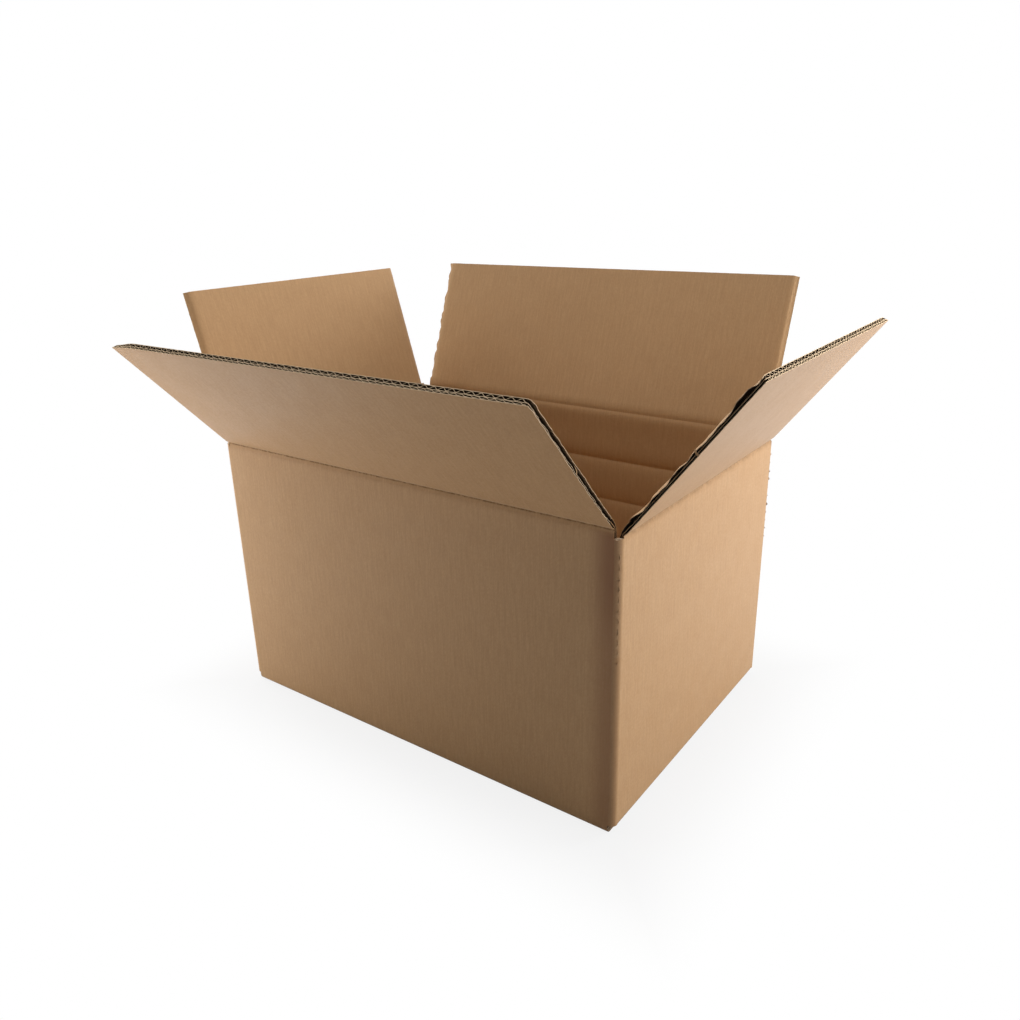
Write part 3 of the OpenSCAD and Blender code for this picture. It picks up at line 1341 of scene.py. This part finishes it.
@dataclass
class BodyWalls:
    """Ring of the four walls, with round corners, inside scores and the stubs at the corner slots.

    Attributes:
        name: Name of the piece.
        radius: Radius of the outer corners.
        drop: Distance from a fold line down to the first score.
        spacing: Distance between scores.
        groove: Depth of a score.
        pillow: Rise of the inner face between scores.
        left_stub: Height of the stubs at the two left-hand corners.
        slits: Number of slits down each right-hand corner.
        slit_pitch: Distance between slits.
        slit_length: Length of a slit.
        slit_tip: Share of a slit's length from its top down to the tips of its lips.
        slit_widths: Widths of the slits at the front and at the back.
        burrs: Heights of the torn lips of the slits at the front and at the back.
        row: Distance between the even lines of edges round the ring.
        rows: Number of those lines.
        near: Distances from a score of the lines of edges beside it.
        insets: Distances from a corner of the upright lines of edges beside it.
    """

    name: str = "body_walls"
    radius: float = 0.0062
    drop: float = 0.059
    spacing: float = 0.05
    groove: float = 0.0011
    pillow: float = 0.0011
    left_stub: float = 0.2855
    slits: int = 11
    slit_pitch: float = 0.0093
    slit_length: float = 0.0055
    slit_tip: float = 0.6
    slit_widths: tuple[float, float] = (0.0003, 0.0007)
    burrs: tuple[float, float] = (0.0011, 0.003)
    row: float = 0.005
    rows: int = 31
    near: tuple[float, ...] = (0.0, 0.0005, 0.0012, 0.0025, 0.0045, 0.008)
    insets: tuple[float, ...] = (PLAN.slot_inset, 0.009, 0.012, 0.016, 0.02, 0.024, 0.03)

    def scores(self, side: Side) -> list[float]:
        """Heights of the fold line and the scores inside a wall, from the top."""
        top = PLAN.fold_z(side)
        return [top, top - self.drop, top - self.drop - self.spacing, top - self.drop - 2 * self.spacing]

    def swell(self, side: Side, z: float) -> float:
        """Height of the inner face of a wall above a flat one, at a height.

        Args:
            side: Side of the box.
            z: Height in the row frame.

        Returns:
            The rise, which is below 0 in the grooves.
        """
        lines = self.scores(side)
        rise = 0.0
        for top, base in zip(lines, lines[1:]):
            if base < z <= top:
                if top == lines[0]:
                    t = min(1.0, (z - base) / (PLAN.ring_top - self.row - base))
                    rise = self.pillow * 4 * t * (1 - t) ** 2
                else:
                    t = (z - base) / (top - base)
                    rise = self.pillow * 4 * t * (1 - t)
        for line in lines[1:-1]:
            off = abs(z - line)
            rise -= self.groove * (0.45 * math.exp(-(off / 0.0022) ** 2) + 0.55 * math.exp(-(off / 0.006) ** 2))
        return rise

    def build(self, materials: dict[Paper, Material]) -> Object:
        """Builds the ring.

        Args:
            materials: Materials by kind of paper.

        Returns:
            The ring in its place.
        """
        ring = self._ring()
        self._score(ring)
        self._burrs(ring)
        self._stubs(ring)
        thick = BOARD.thickness

        def outside(c: Vector) -> bool:
            """True on the outer skin."""
            return abs(c.x) > PLAN.half_length - thick / 2 or abs(c.y) > PLAN.half_width - thick / 2

        turn = Vector((PLAN.half_length - self.radius, PLAN.half_width - self.radius))

        def paper(c: Vector, n: Vector) -> int:
            """Chooses the skin, the cut edges or the near-black paper of painted shade on the torn lips at the back
            corner.

            Args:
                c: Middle of a face.
                n: Its normal.

            Returns:
                Number of the material.
            """
            # Painted shade: the lips that stand proud of the back corner take the near-black flute paper.
            if c.x > turn.x and c.y > turn.y and (c.xy - turn).length > self.radius + 0.0003:
                return 3
            return 2 if abs(n.z) > 0.7 else int(not outside(c))

        dress(ring, [materials[p] for p in (Paper.OUTSIDE, Paper.INSIDE, Paper.RIM, Paper.FLUTE)], paper)
        chart(ring, self._paper)
        # Painted shade of the corner band.
        paint(ring, "shade", self._shade)
        smooth(ring, 40)
        return ring

    def _shade(self, p: Vector) -> float:
        """Painted shade in the band on the front wall beside its right-hand corner."""
        return CORNER_SHADE.dark(p.x, p.z) if p.y < 0.004 - PLAN.half_width else 0.0

    def _ring(self) -> Object:
        """Builds the plain ring of board with round corners.

        Returns:
            The ring, with its slits cut.
        """
        height = PLAN.ring_top - PLAN.ring_base
        bpy.ops.mesh.primitive_cube_add(size=1)
        ring = bpy.context.object
        ring.name = self.name
        settle(ring, Matrix.Translation((0, 0, PLAN.ring_base + height / 2))
               @ Matrix.Diagonal((2 * PLAN.half_length, 2 * PLAN.half_width, height, 1)))
        start_edit(ring)
        middle = PLAN.ring_base + height / 2
        pick(ring, lambda p: abs(p.z - middle) > height / 2 - 1e-5, "FACE")
        bpy.ops.mesh.delete(type="ONLY_FACE")
        pick(ring, lambda p: abs(p.z - middle) < 1e-5 and abs(p.x) > 0.2 and abs(p.y) > 0.15, "EDGE")
        bpy.ops.mesh.bevel(offset=self.radius, segments=8, affect="EDGES")
        for z in self._levels():
            self._cut(ring, (0, 0, z), (0, 0, 1))
        for s in (-1, 1):
            for inset in self.insets:
                self._cut(ring, (s * (PLAN.half_length - inset), 0, 0), (1, 0, 0))
                self._cut(ring, (0, s * (PLAN.half_width - inset), 0), (0, 1, 0))
        for across, width in zip((-1, 1), self.slit_widths):
            self._slit_corner(ring, across, width)
        stop_edit()
        apply_modifier(ring, "SOLIDIFY", thickness=BOARD.thickness, offset=-1, use_even_offset=True)
        return ring

    def _slit_tops(self) -> list[float]:
        """Heights of the upper ends of the slits."""
        gap = (self.slit_pitch - self.slit_length) / 2
        return [PLAN.slot_floor - gap - i * self.slit_pitch for i in range(1, self.slits + 1)]

    def _corner(self, across: int) -> tuple[Vector, Vector, Vector]:
        """Middle of a right-hand corner's round, the way out of it and the way across it."""
        turn = Vector((PLAN.half_length - self.radius, across * (PLAN.half_width - self.radius), 0))
        return turn, Vector((1, across, 0)).normalized(), Vector((1, -across, 0)).normalized()

    def _slit_corner(self, ring: Object, across: int, width: float) -> None:
        """Cuts the slits down one right-hand corner, in edit mode.

        Args:
            ring: Ring of the walls, still one sheet.
            across: -1 at the front and 1 at the back.
            width: Width of a slit.
        """
        turn, _, side = self._corner(across)
        tops = self._slit_tops()

        def on_corner(p: Vector) -> bool:
            """True on the round part of the corner."""
            return p.x > turn.x and p.y * across > turn.y * across

        def cut(place: Vector, facing: Vector) -> None:
            """Cuts the round part along a plane."""
            pick(ring, on_corner, "FACE")
            bpy.ops.mesh.bisect(plane_co=place, plane_no=facing)

        for top in tops:
            for z in (top, top - self.slit_length * self.slit_tip, top - self.slit_length):
                cut(Vector((0, 0, z)), Vector((0, 0, 1)))
        for s in (-1, 1):
            cut(turn + side * s * width / 2, side)
        pick(ring, lambda p: on_corner(p) and abs((p - turn).dot(side)) < width / 2
             and any(t - self.slit_length < p.z < t for t in tops), "FACE")
        bpy.ops.mesh.delete(type="FACE")

    def _burrs(self, ring: Object) -> None:
        """Raises the torn lips of the slits, frays the front corner round them and paints shade on the back corner
        round them.

        Args:
            ring: Ring of the walls, in object mode.
        """
        tips = [t - self.slit_length * self.slit_tip for t in self._slit_tops()]
        for across, height, width in zip((-1, 1), self.burrs, self.slit_widths):
            turn, out, side = self._corner(across)

            def lip(p: Vector) -> float:
                """Share of a burr's height at a place on the corner.

                Args:
                    p: Place on the ring.

                Returns:
                    The share, from 0 to 1.
                """
                flat = Vector((p.x, p.y, 0)) - turn
                if flat.dot(out) < self.radius * 0.9 or min(abs(p.z - t) for t in tips) > 1e-4:
                    return 0.0
                off = abs(flat.dot(side))
                return float(abs(off - width / 2) < 2e-4) * (0.72 + 0.28 * math.sin(p.z * 2900))

            nudge(ring, "X", height * out.x, lip)
            nudge(ring, "Y", height * out.y, lip)
        reach = self.slits * self.slit_pitch

        def torn(p: Vector, across: int) -> float:
            """Share at a place near the slits of a corner: of torn fibres at the front, of painted shade at the
            back.

            Args:
                p: Place on the ring.
                across: -1 at the front and 1 at the back.

            Returns:
                The share, from 0 to 1.
            """
            turn, out, _ = self._corner(across)
            flat = Vector((p.x, p.y, 0)) - turn
            if flat.dot(out) < self.radius * 0.7 or p.z < PLAN.slot_floor - reach:
                return 0.0
            return ramp(flat.angle(out), 0.5, 0.0)

        paint(ring, "fray", lambda p: 0.3 * torn(p, -1))
        # Painted shade on the back corner round its slits.
        paint(ring, "wear_and_shade", lambda p: torn(p, 1))

    def _levels(self) -> list[float]:
        """Heights of the lines of edges round the ring: close at the scores and even between them.

        Returns:
            The heights, from the lowest.
        """
        levels = {round(z + s * d, 5) for side in (Side.FRONT, Side.RIGHT) for z in self.scores(side)[1:3]
                  for d in self.near for s in (-1, 1)}
        even = [PLAN.ring_top - self.row * i for i in range(1, self.rows + 1)]
        levels |= {round(z, 5) for z in even if all(abs(z - other) > self.row / 2 for other in levels)}
        return sorted(levels)

    def _cut(self, ring: Object, place: tuple[float, float, float], facing: tuple[float, float, float]) -> None:
        """Cuts a line of edges round the ring, in edit mode.

        Args:
            ring: Ring of the walls; not used.
            place: Point on the cutting plane.
            facing: Normal of the plane.
        """
        bpy.ops.mesh.select_mode(type="FACE")
        bpy.ops.mesh.select_all(action="SELECT")
        bpy.ops.mesh.bisect(plane_co=place, plane_no=facing)

    def _score(self, ring: Object) -> None:
        """Shapes the inner skin of each wall to its scores.

        Args:
            ring: Ring of the walls, in object mode.
        """
        top = max(self.pillow, self.groove)
        for side in Side:
            back = PLAN.stand(side).inverted()
            inward = PLAN.stand(side).to_3x3() @ Vector((0, 1, 0))
            axis = "Y" if side.is_long else "X"
            sign = inward.y if side.is_long else inward.x
            end = (PLAN.half_length if side.is_long else PLAN.half_width) - BOARD.thickness

            def share(p: Vector, upwards: bool) -> float:
                """Share of the full rise, or of the full depth, at a place on the inner skin.

                Args:
                    p: Place on the ring.
                    upwards: True for the rise, which is inwards.

                Returns:
                    The share, which is below 0 where it is the other one.
                """
                local = back @ p
                if abs(local.y - BOARD.thickness) > 0.0015 or abs(local.x) > end - 0.0002:
                    return 0.0
                rise = self.swell(side, p.z) * ramp(abs(local.x), end, end - 0.004)
                return (rise if upwards else -rise) / top

            nudge(ring, axis, sign * top, lambda p: share(p, True))
            nudge(ring, axis, -sign * top, lambda p: share(p, False))

    def _stubs(self, ring: Object) -> None:
        """Draws the corners up to the slots' floors and down to the bottom slots.

        Args:
            ring: Ring of the walls, in object mode.
        """
        start_edit(ring)
        for level, left, right in ((PLAN.ring_top, self.left_stub, PLAN.slot_floor),
                                   (PLAN.ring_base, PLAN.slot_rise, PLAN.slot_rise)):
            for side, goal in ((-1, left), (1, right)):
                pick(ring, lambda p: abs(p.z - level) < 1e-5 and p.x * side > PLAN.half_length - PLAN.slot_inset
                     and abs(p.y) > PLAN.half_width - PLAN.slot_inset, "FACE")
                bpy.ops.mesh.extrude_region_move(TRANSFORM_OT_translate={"value": (0, 0, goal - level)})
        bpy.ops.mesh.select_all(action="SELECT")
        bpy.ops.mesh.normals_make_consistent(inside=False)
        stop_edit()
        roughen(ring, Clouds(0.003, 0.003), "Z", lambda p: float(p.x > 0.2 and p.z > PLAN.slot_floor - 1e-4))

    def _paper(self, p: Vector, n: Vector) -> tuple[float, float]:
        """Gives the paper's place on the wall that a face belongs to.

        Args:
            p: Place of a vertex.
            n: Normal of its face.

        Returns:
            U and v, in metres.
        """
        side = max(Side, key=lambda s: (PLAN.stand(s).to_3x3() @ Vector((0, -1, 0))).dot(n) ** 2
                   + 0.1 * (PLAN.stand(s).to_3x3() @ Vector((0, -1, 0))).dot(p))
        local = PLAN.stand(side).inverted() @ p
        return local.x + side.value / 90, p.z - PLAN.fold_z(side) + 1.0


@dataclass
class Bottom:
    """Closed bottom: the long flaps outside and the end flaps on them, all glued.

    Attributes:
        seam: Gap where the long flaps meet.
        root: Distance that the solid fold of an end flap reaches inwards, to its open board.
        turns: Faces round a fold.
        long_faces: Faces along a long fold.
        end_faces: Faces along an end fold.
    """

    seam: float = 0.0005
    root: float = 0.02
    turns: int = 6
    long_faces: int = 40
    end_faces: int = 30

    def fold_profile(self, base: float, reach: float) -> list[tuple[float, float]]:
        """Gives the section of a bottom fold.

        Args:
            base: Height of the upper face of the flap.
            reach: Distance that the section reaches inwards.

        Returns:
            Points in y and z, from the outer face of the wall round to its inner face.
        """
        thick = BOARD.thickness
        arc = [(thick - thick * math.cos(a), base - thick * math.sin(a))
               for a in (math.pi / 2 * i / self.turns for i in range(self.turns + 1))]
        flat = [(reach, base - thick), (reach, base)]
        if base > PLAN.ring_base - 1e-6:
            return [*arc, *flat]
        return [(0.0, PLAN.ring_base), *arc, *flat, (thick, base), (thick, PLAN.ring_base)]

    def build(self, materials: dict[Paper, Material]) -> list[Object]:
        """Builds the bottom's flaps in their places.

        Args:
            materials: Materials by kind of paper.

        Returns:
            The pieces.
        """
        thick = BOARD.thickness
        pieces = []
        end = PLAN.half_length - PLAN.slot_inset
        for side in (Side.FRONT, Side.BACK):
            profile = self.fold_profile(thick, PLAN.half_width - self.seam / 2)
            piece = prism(f"bottom_{side.name.lower()}", profile, -end, end, self.long_faces)
            self._finish(piece, side, materials)
            pieces.append(piece)
        wide = PLAN.half_width - PLAN.slot_inset
        for side, start in ((Side.RIGHT, -wide), (Side.LEFT, thick - wide)):
            name = f"bottom_{side.name.lower()}"
            profile = self.fold_profile(2 * thick, self.root)
            fold = prism(f"{name}_fold", profile, start, wide, self.end_faces)
            self._finish(fold, side, materials)
            board = FlapBoard(name, -wide, -start, self.root, PLAN.flap_length + PLAN.fold_depth, CutEnd(),
                              CutEnd(), shift=side.value / 90 + 7)
            turn = (PLAN.stand(side) @ Matrix.Translation((0, 0, thick)) @ Matrix.Rotation(math.pi, 4, "Z")
                    @ Matrix.Rotation(math.pi / 2, 4, "X"))
            sheets = board.build(materials)
            for sheet in sheets:
                settle(sheet, turn)
            pieces += [fold, *sheets]
        return pieces

    def _finish(self, piece: Object, side: Side, materials: dict[Paper, Material]) -> None:
        """Dresses a folded piece and stands it on its side.

        Args:
            piece: Prism of the fold, at the front.
            side: Side of the box.
            materials: Materials by kind of paper.
        """
        dress(piece, [materials[p] for p in (Paper.OUTSIDE, Paper.INSIDE, Paper.PLIES)],
              lambda c, n: 2 if abs(n.x) > 0.8 or n.y > 0.8 and c.y > 0.05 else int(n.z > 0.5 or n.y > 0.5))
        chart(piece, lambda p, n: (p.z, p.y) if abs(n.x) > 0.8 or n.y > 0.8
              else (p.x + side.value / 90, p.z - p.y - PLAN.fold_z(side) + 1.0))
        # Painted shade of the corner band, carried down round the bottom fold.
        if side is Side.FRONT:
            paint(piece, "shade", lambda p: CORNER_SHADE.dark(p.x, p.z) * ramp(p.y, BOARD.thickness, 0.003))
        smooth(piece, 30)
        settle(piece, PLAN.stand(side))


@dataclass
class GlueLap:
    """Lap of the left wall, pressed thin and glued inside the back wall.

    Attributes:
        width: Distance from its fold to its free edge.
        thickness: Thickness of the pressed board.
        taper: Distance that its free edge stops short of its fold, at the top and bottom.
        bevel: Breadth of its soft edges.
    """

    width: float = 0.036
    thickness: float = 0.003
    taper: float = 0.014
    bevel: float = 0.0006

    def build(self, materials: dict[Paper, Material]) -> Object:
        """Builds the lap in its place.

        Args:
            materials: Materials by kind of paper.

        Returns:
            The lap.
        """
        root = PLAN.half_length - BOARD.thickness
        bpy.ops.mesh.primitive_cube_add(size=1)
        lap = bpy.context.object
        lap.name = "glue_lap"
        height = PLAN.slot_floor - PLAN.slot_rise
        settle(lap, Matrix.Translation((root - self.width / 2, BOARD.thickness + self.thickness / 2,
                                        PLAN.slot_rise + height / 2))
               @ Matrix.Diagonal((self.width, self.thickness, height, 1)))
        start_edit(lap)
        for z, move in ((PLAN.slot_floor, -self.taper), (PLAN.slot_rise, self.taper)):
            pick(lap, lambda p: p.x < root - self.width / 2 and abs(p.z - z) < 1e-4)
            bpy.ops.transform.translate(value=(0, 0, move))
        pick(lap, lambda p: p.y > BOARD.thickness + self.thickness * 0.9, "EDGE")
        bpy.ops.mesh.bevel(offset=self.bevel, segments=2, affect="EDGES")
        stop_edit()
        dress(lap, [materials[Paper.OUTSIDE], materials[Paper.PLIES]], lambda c, n: int(n.y < 0.5))
        chart(lap, lambda p, n: (p.x, p.z) if n.y > 0.5 else (p.y - BOARD.thickness, p.z + p.x))
        smooth(lap, 30)
        settle(lap, PLAN.stand(Side.BACK))
        return lap


# Studio


@dataclass(frozen=True)
class Lamp:
    """A soft studio light.

    Attributes:
        name: Name of the light.
        place: Where it stands.
        aim: Point that it looks at.
        width: Width of its face.
        height: Height of its face.
        power: Power in watts.
    """

    name: str
    place: tuple[float, float, float]
    aim: tuple[float, float, float]
    width: float
    height: float
    power: float

    def add(self) -> Object:
        """Adds the light to the scene.

        Returns:
            The light, which the camera and the mirroring papers do not see.
        """
        light = bpy.data.lights.new(self.name, "AREA")
        light.shape = "RECTANGLE"
        light.size = self.width
        light.size_y = self.height
        light.energy = self.power
        obj = bpy.data.objects.new(self.name, light)
        bpy.context.scene.collection.objects.link(obj)
        obj.location = self.place
        obj.visible_camera = False
        obj.visible_glossy = False
        obj.rotation_euler = (Vector(self.aim) - Vector(self.place)).to_track_quat("-Z", "Y").to_euler()
        return obj


@dataclass
class Studio:
    """Pale floor, soft lights and the camera.

    Attributes:
        lamps: The lights.
        lens: Focal length of the camera, in millimetres.
        eye: Place of the camera.
        azimuth: Turn of the camera round the box from its front, in degrees.
        elevation: Its angle above the floor, in degrees.
        roll: Its turn about its own view, in degrees.
        near_floor: Distance from the box over which the floor goes from shadow to white.
        mirrored_floor: Distances between which the floor that the papers mirror turns white.
    """

    lamps: tuple[Lamp, ...] = (
        Lamp("right", (1.7, 0.1, 0.7), (0.2, 0.0, 0.2), 0.8, 0.8, 13.5),
        Lamp("right_near", (0.8, 0.6, 0.55), (0.24, 0.0, 0.25), 0.4, 0.4, 6.5),
        Lamp("left", (-1.6, 0.0, 0.9), (0.0, 0.0, 0.3), 1.0, 1.0, 17),
        Lamp("left_low", (-0.65, -0.5, 0.2), (-0.2, -0.16, 0.3), 0.3, 0.3, 3.1),
        Lamp("top", (0.0, 0.0, 2.2), (0.0, 0.0, 0.2), 1.5, 1.5, 18),
        Lamp("top_left", (-0.9, -0.2, 1.8), (0.0, 0.0, 0.2), 1.0, 1.0, 7),
        Lamp("back_left", (-1.1, 1.4, 1.0), (0.0, 0.0, 0.3), 1.0, 1.0, 12),
        Lamp("back", (0.2, 1.8, 1.2), (0.0, 0.0, 0.3), 1.5, 1.0, 7),
    )
    lens: float = 30.3688
    eye: tuple[float, float, float] = (0.52635, -0.70138, 0.53003)
    azimuth: float = 36.1335
    elevation: float = 20.3465
    roll: float = -1.3137
    near_floor: float = 0.12
    mirrored_floor: tuple[float, float] = (0.05, 0.75)

    def build(self) -> None:
        """Builds the whole studio."""
        self._floor()
        self._sky()
        for lamp in self.lamps:
            lamp.add()
        self._camera()
        bpy.context.scene.view_settings.view_transform = "Standard"

    def _floor(self) -> None:
        """Lays the floor, which is white to the camera apart from the box's shadow."""
        bpy.ops.mesh.primitive_plane_add(size=30)
        floor = bpy.context.object
        floor.name = "floor"
        material = bpy.data.materials.new("floor")
        material.use_nodes = True
        nodes = Nodes(material.node_tree)
        path = nodes.add("LightPath")
        matte = nodes.add("BsdfDiffuse", {"Color": (0.5, 0.5, 0.5, 1)})
        glow = nodes.add("Emission", {"Color": (1, 1, 1, 1), "Strength": 1.0})
        place = nodes.add("TexCoord").outputs["Object"]
        split = nodes.add("SeparateXYZ", {0: place}).outputs
        beside = [nodes.math("SUBTRACT", nodes.math("ABSOLUTE", socket), half)
                  for socket, half in zip(split, (PLAN.half_length, PLAN.half_width))]
        away = nodes.math("MAXIMUM", *beside)
        seen = nodes.math("MAXIMUM", path.outputs["Is Camera Ray"], path.outputs["Is Transmission Ray"])
        seen = nodes.math("MULTIPLY", seen, nodes.spread(away, 0.0, self.near_floor, 0.85, 1.0))
        mirrored = nodes.math("MULTIPLY", path.outputs["Is Glossy Ray"], nodes.spread(away, *self.mirrored_floor))
        share = nodes.math("MAXIMUM", seen, mirrored)
        mixed = nodes.add("MixShader", {0: share, 1: matte.outputs[0], 2: glow.outputs[0]})
        nodes.add("OutputMaterial", {"Surface": mixed.outputs[0]})
        floor.data.materials.append(material)

    def _sky(self) -> None:
        """Makes the surroundings, which are white to the camera and light nothing."""
        world = bpy.data.worlds.new("studio")
        bpy.context.scene.world = world
        world.use_nodes = True
        nodes = Nodes(world.node_tree)
        path = nodes.add("LightPath")
        seen = nodes.math("MAXIMUM", path.outputs["Is Camera Ray"], path.outputs["Is Glossy Ray"])
        seen = nodes.math("MAXIMUM", seen, path.outputs["Is Transmission Ray"])
        back = nodes.add("Background", {"Color": (1, 1, 1, 1), "Strength": seen})
        nodes.add("OutputWorld", {"Surface": back.outputs[0]})

    def _camera(self) -> None:
        """Stands the camera where the photo was taken from."""
        data = bpy.data.cameras.new("camera")
        data.lens = self.lens
        data.sensor_width = 36
        data.clip_start = 0.01
        camera = bpy.data.objects.new("camera", data)
        bpy.context.scene.collection.objects.link(camera)
        az, el, roll = (math.radians(a) for a in (self.azimuth, self.elevation, self.roll))
        back = Vector((math.sin(az) * math.cos(el), -math.cos(az) * math.cos(el), math.sin(el)))
        right = Vector((math.cos(az), math.sin(az), 0))
        up = back.cross(right)
        across = right * math.cos(roll) + up * math.sin(roll)
        above = up * math.cos(roll) - right * math.sin(roll)
        turn = Matrix((across, above, back)).transposed().to_4x4()
        camera.matrix_world = Matrix.Translation(self.eye) @ turn
        bpy.context.scene.camera = camera


def report(pieces: Iterable[Object]) -> None:
    """Logs each piece with its triangles.

    Args:
        pieces: Finished pieces.
    """
    for piece in pieces:
        triangles = sum(len(f.vertices) - 2 for f in piece.data.polygons)
        LOG.info("%s: %d triangles", piece.name, triangles)


def main() -> None:
    """Builds the box and its studio."""
    logging.basicConfig(level=logging.INFO, format="%(message)s")
    materials = make_materials()
    long_end = PLAN.half_length - PLAN.slot_inset
    wide_end = PLAN.half_width - PLAN.slot_inset
    plain = CutEnd()
    ply_edge = CutEnd(tear=Clouds(0.006, 0.0028), recess=0.003, sunk=0.0015, fray=0.6, roll=0.0005, pinch=0.0)
    peeled = CutEnd(tear=Clouds(0.006, 0.002), wave=Clouds(0.013, 0.009), peel=Clouds(0.018, 0.007),
                    recess=0.0065, sunk=0.003, short=0.003, fray=1.0, roll=0.0008, pinch=0.0)
    ragged = CutEnd(tear=Clouds(0.007, 0.0045, "VORONOI"), recess=0.0035, pinch=0.25)
    thick = BOARD.thickness
    front_shred = Shred(long_end, z=0.081, start=0.0008, end=0.0036, width=0.0026, climb=0.007)
    right_shred = Shred(0.0008 - wide_end, z=0.092, start=0.0, end=thick, width=0.002, climb=0.0015)
    crushed = Crush(-long_end, reach=0.035, share=0.45, drop=0.003)
    flaps = (
        Flap("front_flap", Side.FRONT, 43, -long_end, long_end, plain, ply_edge, wear_and_shade=1.0, line=0.0008,
             crush=crushed, shreds=(front_shred,)),
        Flap("right_flap", Side.RIGHT, 37.5, -wide_end, wide_end, peeled, plain, wear_and_shade=0.55, shreds=(right_shred,)),
        Flap("back_flap", Side.BACK, 20.5, -long_end, long_end, plain, ragged, wear_and_shade=0.5),
        Flap("left_flap", Side.LEFT, 16, thick - wide_end, wide_end, plain, plain, wear_and_shade=0.5),
    )
    for flap in flaps:
        report(flap.build(materials))
    body = [BodyWalls().build(materials), *Bottom().build(materials), GlueLap().build(materials)]
    for piece in body:
        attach(piece, "body")
        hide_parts("body")
    report(body)
    Studio().build()
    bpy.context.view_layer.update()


if __name__ == "__main__":
    main()
